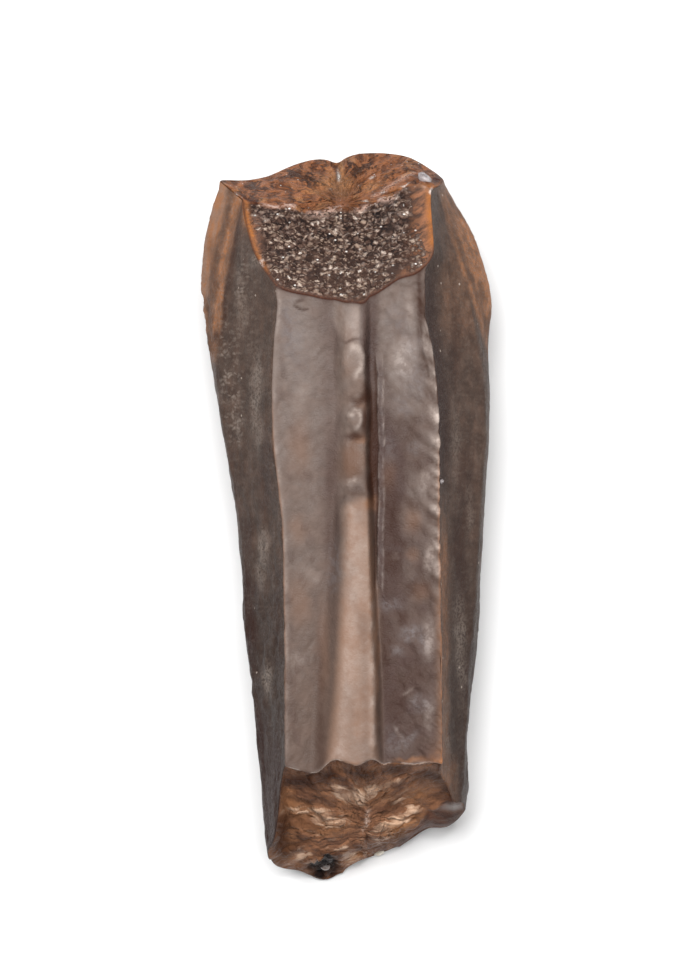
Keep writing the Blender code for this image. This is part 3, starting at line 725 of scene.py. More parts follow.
def enamel_detail(x, y, sizes):
    """Relief of the enamel face, summed over its plates, beads, thread and crest, and the marks it leaves."""
    crest = line(RIDGE_CREST, y)
    from_margin, from_left = line(RIGHT_MARGIN, y) - x, x - line(LEFT_MARGIN, y)
    left_half, right_half = line(RIDGE_LEFT_HALF, y), line(RIDGE_RIGHT_HALF, y)
    wobble = 0.07 * rough(x * 0.6, y * 1.3, seed=7)
    crest_left, crest_right = line(CREST_LEFT, y) + wobble, line(CREST_RIGHT, y) + wobble
    on_ridge = smooth_step(-0.28, 0.28, x - crest_left) * smooth_step(-0.1, 0.14, crest_right - x)
    on_right = smooth_step(0.0, 0.4, x - crest - right_half)
    on_left = smooth_step(0.0, 0.4, crest - left_half - x)
    lumps = rough(x / 0.75, y / 0.9, seed=3)

    relief = plate_relief(x, y, lumps, from_margin, on_left, on_right, on_ridge)
    beads, bead, valley, scallop = bead_detail(x, y, lumps, from_margin, sizes.bead_height)
    strip, thread, thread_rim_highlight, groove = thread_detail(x, y, sizes.thread_height)
    bumps, drop_rim_highlight, crack, nick = crest_detail(x, y, crest, from_left, on_ridge)
    relief += beads + strip + bumps
    return relief, {
        "crest": on_ridge, "bead": bead, "thread": thread, "thread_rim_highlight": thread_rim_highlight, "drop_rim_highlight": drop_rim_highlight,
        "groove": np.clip(groove + 0.55 * crack + 0.5 * scallop + 0.5 * valley + nick, 0, 1), "lumps": lumps,
    }


def flank_detail(x, y, z):
    """Relief of the flanks: noise drawn out along the tooth, broader lumps, scales, chips and pits."""
    streaks = rough(z * 2.5 + x, y / 1.6, seed=41)
    lumps = rough(z * 1.1, y / 1.6, x * 0.5, seed=47)
    near, gap, number = cells(z * 2.2 + x, y * 1.1, seed=53)
    pit = (number > 0.72) * (1 - smooth_step(0.1, 0.4, near))
    scale = number * smooth_step(0.02, 0.2, gap)
    _, chip_gap, chip_number = cells(z * 1.6 + 0.4 * streaks, y * 1.5 + 0.5 * streaks, seed=59)
    chipped = smooth_step(-5.7, -6.3, x) * smooth_step(7.6, 8.6, y) * smooth_step(12.4, 11.0, y)
    chips = chipped * (chip_number - 0.5) * smooth_step(0.02, 0.3, chip_gap)
    lumpy = smooth_step(-3.0, -3.6, x) * smooth_step(1.0, -1.0, y) * smooth_step(-11.0, -8.5, y)
    lumpy = 0.15 * lumpy * smooth_step(-5.0, -4.4, x) * rough(z * 1.8, y / 0.55, x, seed=63)
    return 0.03 * streaks + 0.06 * lumps - 0.03 * pit + 0.03 * scale + 0.22 * chips + lumpy


def back_detail(x, y, z):
    """Relief of the back: flutes, lumps and pits, cut inwards on the flat so that it stays the lowest."""
    flutes = rough(x * 0.8, y / 6, seed=61)
    lumps = rough(x * 0.9, y / 1.8, z * 0.6, seed=67)
    near, _, number = cells(x * 1.7, y * 1.3, seed=71)
    pit = (number > 0.6) * (1 - smooth_step(0.05, 0.42, near))
    raised = 0.1 * flutes + 0.07 * lumps - 0.09 * pit
    on_flat = smooth_step(0.7, 0.1, z)
    return raised * (1 - on_flat) + np.minimum(0.5 * raised - 0.02, 0) * on_flat


def wear_detail(x, y, inset):
    """Relief of the wear facet: rounded granules, one to a random cell, and diagonal streaks at the right.

    inset is the distance from the facet's edge. The granules start a little way in from it.
    """
    drift = 0.55 * noise(x * 2.4, y * 2.4, seed=83)
    near, gap, number = cells(x / 0.26 + drift, y / 0.2 + 0.6 * drift, seed=89)
    streaky = smooth_step(2.6, 3.4, x)
    streak_near, streak_gap, streak_number = cells(
        (x + 0.8 * y) / 0.9 + drift, (y - 1.0 * x) / 0.26 + drift, seed=97
    )
    number = number * (1 - streaky) + streak_number * streaky
    near, gap = near * (1 - streaky) + streak_near * streaky, gap * (1 - streaky) + streak_gap * streaky
    granule = smooth_step(0.75, 0.2, near) * smooth_step(0.0, 0.2, gap) * (0.3 + 0.7 * number)
    ragged = rough(x * 1.4, y * 1.4, seed=85)
    left_gone = smooth_step(0.35, -0.45, x + 4.15 + 1.1 * ragged) * smooth_step(15.4, 14.6, y + 0.5 * ragged)
    right_gone = smooth_step(-0.7, 0.7, x - 3.3 + 2.0 * ragged - 0.12 * (13 - y))
    present = smooth_step(0.08, 0.3, inset) * (1 - 0.9 * left_gone) * (1 - 0.85 * right_gone)
    broad = rough(x / 1.4, y / 1.2, seed=101)
    return granule * present, present, broad


def fan_fibres(x, y, centre, count, seed, fold=0.0):
    """Fibres that spread from a centre: noise of direction and, slowly, of distance, from about -1 to 1.

    The fold moves the centre away on the far side of each point, so that fibres meet along a seam instead.
    """
    across = x - centre[0]
    across = across + fold * np.sign(across)
    away = np.maximum(np.hypot(across, y - centre[1]), 1e-6)
    way_x, way_y = across / away * count / 6.28, (y - centre[1]) / away * count / 6.28
    fibres = (
        0.6 * noise(way_x, way_y, away / 0.9, seed)
        + 0.55 * noise(2.3 * way_x, 2.3 * way_y, away / 0.5, seed + 1)
    )
    return fibres, away - fold, way_x, way_y


def root_detail(x, y, z):
    """Relief of the fracture, and its masks: fans of broken fibres, a ledge, a seam, a pit, a smooth lobe."""
    shift = 0.3 * noise(x * 0.9, y * 0.9, seed=111)
    fibre, away, way_x, way_y = fan_fibres(x + shift, y + shift, ROOT_FAN, 60, 113, ROOT_FOLD)
    _, gap, number = cells(way_x, way_y, away * 1.1, seed=117)
    sliver = number * smooth_step(0.0, 0.25, gap)
    lobe_edge = y - line(LOBE_EDGE, x) + 0.12 * noise(x * 2, z * 2, seed=119)
    lobe = smooth_step(0.12, -0.12, lobe_edge) * smooth_step(2.3, 2.7, x)
    seam_x = line(ROOT_SEAM, y) + 0.1 * noise(y * 3, 0, seed=125)
    seam = bump_at(x, seam_x, 0.12) * smooth_step(-14.3, -14.9, y)
    ledge = bump_at(y, LEDGE_Y - 0.1 * x + 0.1 * noise(x * 2, 0, seed=123), 0.2)
    ledge = ledge * smooth_step(0.4, -0.6, x) * smooth_step(-3.7, -3.2, x)
    bulge = (
        bump_at(x, -1.6, 1.6) * bump_at(y, -15.4, 0.8)
        + bump_at(x, 2.6, 1.0) * bump_at(y - 0.5 * x, -16.6, 0.5)
    )
    relief = (0.07 * fibre + 0.19 * (sliver - 0.4)) * (1 - 0.92 * lobe)
    relief += (
        0.12 * rough(x / 0.9, y / 0.9, z / 0.9, seed=121) + 0.06 * seam + 0.16 * ledge
        + 0.22 * bulge * (1 - lobe)
    )
    pit = smooth_step(
        1.15, 0.55, np.hypot((x + 1.1) / 0.85, (y + 17.95) / 0.8) + 0.45 * rough(x * 2.2, y * 2.2, seed=127)
    )
    relief -= 0.4 * pit
    return relief, lobe, seam, pit


def rim_distance(points, row):
    """Distance from each point to the point of its own column on the given row."""
    return np.linalg.norm(points - points[row][None], axis=-1)


def parts(points, first, last):
    """1 on the sides, on the crown's end and on the root's end, as three arrays."""
    rows, ones = np.arange(len(points))[:, None], np.ones(points.shape[:2])
    return ((rows >= first) & (rows <= last)) * ones, (rows > last) * ones, (rows < first) * ones


def tooth_surface(sizes):
    """The finished grid of points, the masks that come with its relief, and the enamel's own marks."""
    plain, first, last = plain_tooth()
    x, y, z = plain[..., 0], plain[..., 1], plain[..., 2]
    rows = np.arange(len(plain))[:, None]
    side, crown, root = parts(plain, first, last)
    face = in_stretches(*FACE_STRETCHES)
    flanks = in_stretches("left flank", "left strip", "right flank", "right strip")
    back = in_stretches("right back", "flat back", "left back")

    enamel_relief, enamel = enamel_detail(x, y, sizes)
    inset = rim_distance(plain, last)
    granule, granular, broad = wear_detail(x, y, inset)
    wear_gap = wear_facet(x, z) - end_face(x, z)
    on_wear = smooth_step(0.12, -0.12, wear_gap)
    bend = 0.4 * noise(x * 0.9, y * 0.9, seed=131)
    end_fibre, reach, _, _ = fan_fibres(x + bend, y - bend, CROWN_FAN, 60, 133)
    root_relief, lobe, seam, pit = root_detail(x, y, z)

    side_fade = smooth_step(0, 4, rows - first) * smooth_step(0, 4, last - rows)
    side_relief = face * enamel_relief + flanks * flank_detail(x, y, z) + back * back_detail(x, y, z)
    relief = side * side_fade * side_relief
    wear_relief = sizes.granule_height * (granule - 0.35) * granular + 0.05 * broad
    vein = bump_at(path_distance(x, y, END_VEIN), 0, 0.09)
    end_relief = sizes.fibre_depth * end_fibre * np.clip(reach / 0.6, 0, 1)
    end_relief += 0.08 * rough(x / 0.7, z / 0.9, seed=141) + 0.06 * vein
    relief += crown * smooth_step(0, 5, rows - last) * (on_wear * wear_relief + (1 - on_wear) * end_relief)
    relief += root * smooth_step(0, 3, first - rows) * root_relief
    points = plain + relief[..., None] * normals(plain)
    points[..., 2] = np.maximum(points[..., 2], 0)

    crease = crown * bump_at(wear_gap, 0.04 + 0.14 * rough(x * 1.3, 0, seed=151), 0.14)
    crease = crease * smooth_step(-0.7, 0.15, noise(x * 2.2, wear_gap * 2, seed=153))
    masks = {
        "groove": side * face * enamel["groove"],
        "granular": crown * on_wear * granular,
        "end_face": crown * (1 - on_wear),
        "vein": crown * (1 - on_wear) * vein,
        "crease": crease * smooth_step(-4.6, -3.6, x),
        "lobe": root * lobe,
        "seam": root * seam,
        "pit": root * pit,
    }
    return points, masks, enamel, first, last


# --- Meshes -----------------------------------------------------------------------------------------


def grid_faces(rows, columns):
    """Squares of a grid whose last column joins its first, and two fans to a point before and one after."""
    at = np.arange(rows * columns).reshape(rows, columns)
    after = np.roll(at, -1, axis=1)
    squares = np.stack([at[:-1], after[:-1], after[1:], at[1:]], axis=-1).reshape(-1, 4)
    before, beyond = rows * columns, rows * columns + 1
    start = np.stack([np.full(columns, before), after[0], at[0]], axis=-1)
    stop = np.stack([at[-1], after[-1], np.full(columns, beyond)], axis=-1)
    return squares, start, stop


def new_piece(name, points, squares, triangles, materials):
    """A smooth-shaded mesh object from arrays of points, four-sided faces and three-sided faces."""
    mesh = bpy.data.meshes.new(name)
    corners_of = np.concatenate([squares.reshape(-1), triangles.reshape(-1)]).astype(np.int32)
    starts = np.concatenate([
        np.arange(len(squares)) * 4, len(squares) * 4 + np.arange(len(triangles)) * 3
    ]).astype(np.int32)
    mesh.vertices.add(len(points))
    mesh.loops.add(len(corners_of))
    mesh.polygons.add(len(starts))
    mesh.vertices.foreach_set("co", np.ascontiguousarray(points, np.float32).reshape(-1))
    mesh.loops.foreach_set("vertex_index", corners_of)
    mesh.polygons.foreach_set("loop_start", starts)
    mesh.update(calc_edges=True)
    mesh.polygons.foreach_set("use_smooth", np.ones(len(starts), bool))
    for material in materials:
        mesh.materials.append(material)
    mesh.validate()
    piece = bpy.data.objects.new(name, mesh)
    bpy.context.scene.collection.objects.link(piece)
    return piece


def tooth_offset(points):
    """Where the tooth's own millimetres sit in the frame: the two boxes share their middles in x and y."""
    low, high = points.reshape(-1, 3).min(axis=0), points.reshape(-1, 3).max(axis=0)
    frame_low, frame_high = np.array(TOOTH_LOW) / MM, np.array(TOOTH_HIGH) / MM
    middle = (frame_low + frame_high) / 2 - (low + high) / 2
    return np.array([middle[0], middle[1], frame_low[2]])


# --- Material building -------------------------------------------------------------------------------


class Board:
    """Short calls for wiring a node tree. Each adds one node or group and gives back what it puts out."""

    def __init__(self, tree):
        self.tree = tree
        self.link = tree.links.new

    def fill(self, node, inputs):
        """Links each input that is given a socket, and sets each that is given a value."""
        for name, value in dict(inputs).items():
            if isinstance(value, bpy.types.NodeSocket):
                self.link(value, node.inputs[name])
            else:
                node.inputs[name].default_value = value
        return node

    def node(self, kind, inputs=(), **settings):
        made = self.tree.nodes.new(kind)
        for name, value in settings.items():
            setattr(made, name, value)
        return self.fill(made, inputs)

    def mask(self, name):
        return self.node("ShaderNodeAttribute", attribute_name=name).outputs["Fac"]

    def maths(self, operation, first, second=0.0):
        return self.node("ShaderNodeMath", {0: first, 1: second}, operation=operation).outputs[0]

    def plus(self, first, second):
        return self.maths("ADD", first, second)

    def minus(self, first, second):
        return self.maths("SUBTRACT", first, second)

    def times(self, first, second):
        return self.maths("MULTIPLY", first, second)

    def most(self, first, second):
        return self.maths("MAXIMUM", first, second)

    def vector(self, operation, first, second=(0.0, 0.0, 0.0)):
        return self.node("ShaderNodeVectorMath", {0: first, 1: second}, operation=operation).outputs[0]

    def scaled(self, vector, scale):
        return self.node("ShaderNodeVectorMath", {0: vector, "Scale": scale}, operation="SCALE").outputs[0]

    def spread(self, value, low, high, to_low=0.0, to_high=1.0, smooth=True):
        kind = "SMOOTHSTEP" if smooth else "LINEAR"
        inputs = {"Value": value, "From Min": low, "From Max": high, "To Min": to_low, "To Max": to_high}
        return self.node("ShaderNodeMapRange", inputs, interpolation_type=kind).outputs[0]

    def blend(self, share, first, second):
        """The second colour over the first. A colour is a socket or three numbers."""
        ends = [each if isinstance(each, bpy.types.NodeSocket) else (*each, 1.0) for each in (first, second)]
        return self.node("ShaderNodeMix", {0: share, 6: ends[0], 7: ends[1]}, data_type="RGBA").outputs[2]

    def layers(self, colour, coats):
        """The colour under coats of paint, each a share and its own colour."""
        for share, coat in coats:
            colour = self.blend(share, colour, coat)
        return colour

    def lumps(self, vector, scale, detail=3.0, roughness=0.55):
        inputs = {"Vector": vector, "Scale": scale, "Detail": detail, "Roughness": roughness}
        return self.node("ShaderNodeTexNoise", inputs).outputs["Fac"]

    def wander(self, vector, scale, detail):
        """Three numbers of noise at once, to move a place by."""
        inputs = {"Vector": vector, "Scale": scale, "Detail": detail}
        return self.node("ShaderNodeTexNoise", inputs).outputs["Color"]

    def group(self, name, inputs):
        made = self.node("ShaderNodeGroup")
        made.node_tree = bpy.data.node_groups[name]
        return self.fill(made, inputs).outputs

    def mottle(self, place, patches, grains):
        return self.group(
            "mineral_mottle", {"Place": place, "Patches per mm": patches, "Grains per mm": grains}
        )

    def streaks(self, place, streaks, length):
        return self.group("long_streaks", {"Place": place, "Streaks per mm": streaks, "Length": length})

    def specks(self, place, cells, size, share):
        inputs = {"Place": place, "Cells per mm": cells, "Size": size, "Share": share}
        return self.group("mineral_specks", inputs)

    def granules(self, place, granules, share):
        return self.group("mineral_granules", {"Place": place, "Granules per mm": granules, "Share": share})

    def fan(self, place, centre, count, along, shift, fold=0.0):
        inputs = {"Place": place, "Centre": (*centre, 0.0), "Count": count, "Along": along}
        return self.group("fan_fibres", {**inputs, "Shift": shift, "Fold": fold})


def new_group(name, inputs, outputs):
    """An empty shader node group with the given sockets, its board, and its inside ends."""
    tree = bpy.data.node_groups.new(name, "ShaderNodeTree")
    kinds = {"vector": "NodeSocketVector", "number": "NodeSocketFloat"}
    for label, kind, value in inputs:
        socket = tree.interface.new_socket(name=label, in_out="INPUT", socket_type=kinds[kind])
        if value is not None:
            socket.default_value = value
    for label in outputs:
        tree.interface.new_socket(name=label, in_out="OUTPUT", socket_type="NodeSocketFloat")
    board = Board(tree)
    return board, board.node("NodeGroupInput").outputs, board.node("NodeGroupOutput").inputs


def build_mottle_group():
    """Cloudy variation: broad patches, fine grain, and both together as a height."""
    board, given, out = new_group(
        "mineral_mottle",
        [("Place", "vector", None), ("Patches per mm", "number", 0.7), ("Grains per mm", "number", 6.0)],
        ["Patches", "Grain", "Height"],
    )
    patches = board.lumps(given["Place"], given["Patches per mm"], 4.0, 0.6)
    grain = board.lumps(given["Place"], given["Grains per mm"], 3.0, 0.6)
    board.link(board.spread(patches, 0.32, 0.68), out["Patches"])
    board.link(board.spread(grain, 0.3, 0.7, smooth=False), out["Grain"])
    board.link(board.plus(board.times(patches, 0.4), board.times(grain, 0.6)), out["Height"])


def build_streak_group():
    """Fine streaks along the tooth: noise on a place that is squeezed lengthways."""
    board, given, out = new_group(
        "long_streaks",
        [("Place", "vector", None), ("Streaks per mm", "number", 6.0), ("Length", "number", 8.0)],
        ["Streaks", "Height"],
    )
    squeeze = board.node(
        "ShaderNodeCombineXYZ", {"X": 1.0, "Y": board.maths("DIVIDE", 1.0, given["Length"]), "Z": 1.0}
    )
    place = board.vector("MULTIPLY", given["Place"], squeeze.outputs[0])
    streaks = board.lumps(place, given["Streaks per mm"], 4.0, 0.65)
    board.link(board.spread(streaks, 0.3, 0.7, smooth=False), out["Streaks"])
    board.link(streaks, out["Height"])


def build_speck_group():
    """Scattered mineral specks: a small spot about the random point of each cell, in a share of the cells."""
    board, given, out = new_group(
        "mineral_specks",
        [
            ("Place", "vector", None), ("Cells per mm", "number", 2.0), ("Size", "number", 0.12),
            ("Share", "number", 0.5)
        ],
        ["Specks"],
    )
    inputs = {"Vector": given["Place"], "Scale": given["Cells per mm"]}
    cell = board.node("ShaderNodeTexVoronoi", inputs).outputs
    far = board.times(given["Size"], 1.6)
    near = board.spread(cell["Distance"], given["Size"], far, 1.0, 0.0)
    number = board.node("ShaderNodeSeparateColor", {"Color": cell["Color"]}).outputs[0]
    chosen = board.maths("LESS_THAN", number, given["Share"])
    board.link(board.times(near, chosen), out["Specks"])


def build_fan_group():
    """Fibres that spread from a centre in the XY plane.

    The place becomes the direction from the centre times a count, lifted by the distance times a rate. Noise
    there gives soft fibres, and random cells there give slivers, each with its own number and a rounded top.
    A fold moves the centre away on the far side of each point. All fade out close to the centre.
    """
    board, given, out = new_group(
        "fan_fibres",
        [
            ("Place", "vector", None), ("Centre", "vector", None), ("Count", "number", 18.0),
            ("Along", "number", 1.5),
            ("Shift", "number", 0.3), ("Fold", "number", 0.0),
        ],
        ["Fibres", "Slivers", "Tops"],
    )
    away = board.vector("SUBTRACT", given["Place"], given["Centre"])
    wander = board.wander(given["Place"], 0.9, 3.0)
    wander = board.vector("SUBTRACT", wander, (0.5, 0.5, 0.5))
    wander = board.scaled(wander, given["Shift"])
    away = board.vector("ADD", away, wander)
    sides = board.vector("SIGN", away)
    sides = board.vector("MULTIPLY", sides, (1.0, 0.0, 0.0))
    folded = board.scaled(sides, given["Fold"])
    away = board.vector("ADD", away, folded)
    flat = board.vector("MULTIPLY", away, (1.0, 1.0, 0.0))
    length = board.node("ShaderNodeVectorMath", {0: flat}, operation="LENGTH").outputs["Value"]
    way = board.vector("NORMALIZE", flat)
    spread_way = board.scaled(way, given["Count"])
    lift = board.node("ShaderNodeCombineXYZ", {"Z": board.times(length, given["Along"])}).outputs[0]
    place = board.vector("ADD", spread_way, lift)
    fade = board.spread(length, 0.1, 0.8)
    fibres = board.spread(board.lumps(place, 1.0, 3.0, 0.6), 0.3, 0.7, -0.5, 0.5, smooth=False)
    cell = board.node("ShaderNodeTexVoronoi", {"Vector": place, "Scale": 1.0}).outputs
    number = board.node("ShaderNodeSeparateColor", {"Color": cell["Color"]}).outputs[0]
    tops = board.times(board.spread(cell["Distance"], 0.75, 0.15), fade)
    board.link(board.plus(board.times(fibres, fade), 0.5), out["Fibres"])
    board.link(board.times(number, fade), out["Slivers"])
    board.link(board.plus(tops, board.minus(1.0, fade)), out["Tops"])


def build_granule_group():
    """Rounded granules and worm-like ridges between them.

    Granules are random cells on a place shifted by noise, each with its own height and a ragged outline.
    Worms follow the places where a noise passes its middle value.
    """
    board, given, out = new_group(
        "mineral_granules",
        [("Place", "vector", None), ("Granules per mm", "number", 4.2), ("Share", "number", 0.5)],
        ["Granules", "Number", "Worms"],
    )
    wander = board.wander(given["Place"], 3.2, 2.0)
    wander = board.scaled(wander, 0.35)
    place = board.vector("ADD", given["Place"], wander)
    place = board.vector("MULTIPLY", place, (1.0, 1.4, 0.15))
    cell = board.node("ShaderNodeTexVoronoi", {"Vector": place, "Scale": given["Granules per mm"]}).outputs
    number = board.node("ShaderNodeSeparateColor", {"Color": cell["Color"]}).outputs[0]
    ragged = board.times(board.minus(board.lumps(given["Place"], 8.0, 1.0), 0.5), 0.3)
    top = board.spread(board.plus(cell["Distance"], ragged), 0.72, 0.08, smooth=False)
    low = board.minus(1.0, given["Share"])
    tall = board.spread(number, board.minus(low, 0.25), board.plus(low, 0.25))
    bend = board.lumps(place, board.times(given["Granules per mm"], 0.62), 0.0, 0.5)
    middle = board.maths("ABSOLUTE", board.minus(bend, 0.5))
    broken = board.spread(board.lumps(given["Place"], given["Granules per mm"], 0.0, 0.5), 0.42, 0.56)
    board.link(board.times(top, tall), out["Granules"])
    board.link(number, out["Number"])
    board.link(board.times(board.spread(middle, 0.1, 0.0), broken), out["Worms"])


def new_material(name):
    """A material with its board, its Principled BSDF, and a place in millimetres from Object coordinates."""
    material = bpy.data.materials.new(name)
    material.use_nodes = True
    tree = material.node_tree
    shader = tree.nodes["Principled BSDF"]
    board = Board(tree)
    where = board.node("ShaderNodeTexCoord").outputs["Object"]
    scale = (1 / MM, 1 / MM, 1 / MM)
    place = board.node("ShaderNodeMapping", {"Vector": where, "Scale": scale}).outputs[0]
    return material, board, shader, place


def finish_material(board, shader, colour, roughness, height, bump_mm, more=()):
    """Links the colour, the roughness and a bump of the given height, with what more the shader is given."""
    bump = board.node("ShaderNodeBump", {"Height": height, "Strength": 1.0, "Distance": bump_mm * MM})
    main = {"Base Color": colour, "Roughness": roughness, "Normal": bump.outputs[0]}
    board.fill(shader, {**main, **dict(more)})


def enamel_material(colours):
    """Satin enamel, grey by the crown, browner by the root: pale crest, stains and painted shade in troughs,
    painted highlights, sheen.
    """
    material, board, shader, place = new_material("enamel")
    y = board.node("ShaderNodeSeparateXYZ", {0: place}).outputs["Y"]
    mottle = board.mottle(place, 1.1, 5.0)
    fine = board.mottle(place, 2.8, 12.0)
    colour = board.blend(board.spread(y, 9.0, -10.0, smooth=False), colours.enamel_crown, colours.enamel_root)
    colour = board.layers(colour, [
        (board.times(mottle["Patches"], 0.45), colours.enamel_warm),
        # Purplish plate, and painted shade in the hollow by the crest
        (board.mask("purple"), colours.purple),
        (board.times(fine["Patches"], 0.25), colours.dentine),
    ])
    crest = board.blend(mottle["Patches"], colours.crest, colours.crest_warm)
    crest = board.blend(board.times(fine["Grain"], 0.2), crest, colours.warm)
    colour = board.layers(colour, [
        (board.mask("pale"), crest),
        (board.mask("warm"), colours.warm),
    ])
    # Painted sheen, broken up by fine patches
    sheen = board.times(board.mask("sheen"), board.spread(fine["Patches"], 0.1, 0.9, 0.25, 0.9))
    colour = board.blend(sheen, colour, colours.sheen)
    # Pale patches and painted highlights, broken up by fine patches
    bright = board.times(board.mask("bright"), board.spread(fine["Patches"], 0.1, 0.8, 0.45, 1.0))
    colour = board.layers(colour, [
        (bright, colours.bright),
        # Stains and painted shade in the troughs and hollows
        (board.mask("stain"), colours.stain),
    ])
    rust = board.times(board.mask("rust"), board.spread(fine["Patches"], 0.0, 1.0, 0.6, 1.0))
    colour = board.layers(colour, [
        (rust, colours.rust),
        # Grooves, the cross crack, the scallop, the bead valleys and the nick, darkened in the trough colour
        (board.times(board.mask("groove"), 0.75), colours.stain),
    ])
    rough = board.spread(mottle["Patches"], 0.0, 1.0, 0.34, 0.5, smooth=False)
    height = board.plus(board.times(mottle["Height"], 0.6), board.times(fine["Height"], 0.4))
    height = board.times(height, board.spread(board.mask("purple"), 0.0, 0.7, 0.6, 1.4))
    finish_material(board, shader, colour, rough, height, 0.12, {"Specular IOR Level": 0.09})
    return material


def dentine_material(colours):
    """Flanks and back: dark dentine with faint streaks along it, rusty bands and pale specks."""
    material, board, shader, place = new_material("dentine")
    y = board.node("ShaderNodeSeparateXYZ", {0: place}).outputs["Y"]
    streaks = board.streaks(place, 2.4, 2.5)
    broad = board.streaks(place, 1.2, 2.0)
    mottle = board.mottle(place, 1.3, 8.0)
    specks = board.specks(place, 1.1, 0.05, 0.35)
    flecks = board.granules(place, 4.5, 0.45)
    colour = board.blend(broad["Streaks"], colours.dentine, colours.dentine_warm)
    colour = board.layers(colour, [
        (board.spread(streaks["Streaks"], 0.5, 1.0, 0.0, 0.35), colours.dentine_pale),
        (board.times(mottle["Patches"], 0.6), colours.dentine_deep),
        (board.spread(y, 2.0, -8.0, 0.0, 0.75), colours.dentine_deep),
        (board.times(mottle["Grain"], 0.2), colours.dentine_pale),
    ])
    strip = board.blend(board.spread(streaks["Streaks"], 0.3, 0.8), colours.strip, colours.rust)
    strip = board.blend(board.times(mottle["Patches"], 0.55), strip, colours.strip_dull)
    colour = board.layers(colour, [
        (board.mask("strip"), strip),
        (
            board.times(board.mask("pale"), board.spread(mottle["Grain"], 0.25, 0.65, 0.15, 1.0)),
            colours.speck
        ),
    ])
    banded = board.times(board.mask("rust"), board.spread(streaks["Streaks"], 0.1, 0.9, 0.55, 1.0))
    banded = board.times(banded, board.spread(mottle["Patches"], 0.2, 0.9, 1.0, 0.6))
    rusty = board.blend(board.spread(mottle["Grain"], 0.3, 1.0), colours.rust, colours.strip)
    colour = board.layers(colour, [
        (banded, rusty),
        # Dark bands and patches, and the painted shadow beside the right margin
        (board.mask("stain"), colours.dark_flank),
    ])
    fleck = board.times(
        board.times(flecks["Granules"], board.spread(board.mask("fleck"), 0.0, 1.0, 0.12, 1.0)), 0.5
    )
    colour = board.layers(colour, [
        (fleck, colours.speck),
        (board.times(specks["Specks"], 0.8), colours.speck),
    ])
    rough = board.spread(mottle["Grain"], 0.0, 1.0, 0.34, 0.55, smooth=False)
    height = board.plus(board.times(streaks["Height"], 0.3), mottle["Height"])
    height = board.plus(height, board.times(fleck, 0.5))
    finish_material(board, shader, colour, rough, height, 0.1, {"Specular IOR Level": 0.05})
    return material


def facet_finish(board, colours, place, mottle, fine):
    """The wear facet: its colour and painted highlights, how high its granules and worm-like ridges stand,
    and its painted glints.
    """
    y = board.node("ShaderNodeSeparateXYZ", {0: place}).outputs["Y"]
    flat = board.node("ShaderNodeMapping", {"Vector": place, "Scale": (0.8, 1.2, 0.15)}).outputs[0]
    sparks = board.specks(flat, 4.4, 0.16, 0.12)
    large = board.granules(place, 3.4, 0.66)
    small = board.granules(place, 6.0, 0.5)
    turned = board.node("ShaderNodeMapping", {"Vector": flat, "Rotation": (0.0, 0.0, 0.8)}).outputs[0]
    across = board.streaks(turned, 3.5, 4.0)
    low = board.spread(y, 13.8, 11.4)
    grains = board.most(large["Granules"], board.times(small["Granules"], 0.7))
    worms = board.most(board.times(large["Worms"], 0.6), board.times(small["Worms"], 0.3))
    grains = board.times(board.most(grains, worms), board.mask("granular"))
    worms = board.times(worms, board.mask("granular"))
    facet = board.blend(mottle["Patches"], colours.facet_black, colours.facet_brown)
    facet = board.blend(board.times(low, 0.35), facet, colours.facet_smooth)
    warm_side = board.blend(
        board.spread(across["Streaks"], 0.2, 0.8), colours.granule_dark, colours.facet_warm
    )
    facet = board.layers(facet, [
        (board.mask("streaky"), warm_side),
        (board.times(worms, 0.45), colours.granule_dull),
        (board.spread(grains, 0.03, 0.25), colours.granule_dark),
    ])
    tone = board.blend(board.spread(small["Number"], 0.1, 1.1), colours.granule_dull, colours.granule)
    facet = board.blend(board.spread(grains, 0.24, 0.68), facet, tone)
    # Painted highlights on the tops of the taller granules
    light = board.times(board.spread(grains, 0.5, 0.82), board.spread(large["Number"], 0.6, 0.85))
    facet = board.blend(
        board.times(light, board.spread(fine["Grain"], 0.2, 0.6)), facet, colours.granule_highlight
    )
    # Painted glints on the granules' tops and on scattered sparks
    shiny = board.times(board.spread(grains, 0.62, 0.85), board.spread(large["Number"], 0.85, 0.98))
    shiny = board.times(shiny, board.spread(fine["Grain"], 0.4, 0.7))
    shiny = board.most(shiny, board.times(sparks["Specks"], board.mask("granular")))
    facet = board.blend(board.times(shiny, 0.85), facet, colours.glint)
    smooth = board.times(board.mask("smooth"), board.spread(grains, 0.1, 0.7, 0.95, 0.4))
    smooth_colour = board.blend(
        board.spread(mottle["Grain"], 0.3, 1.0, 0.0, 0.5), colours.facet_smooth, colours.facet_warm
    )
    facet = board.blend(smooth, facet, smooth_colour)
    return facet, grains, worms, sparks["Specks"]


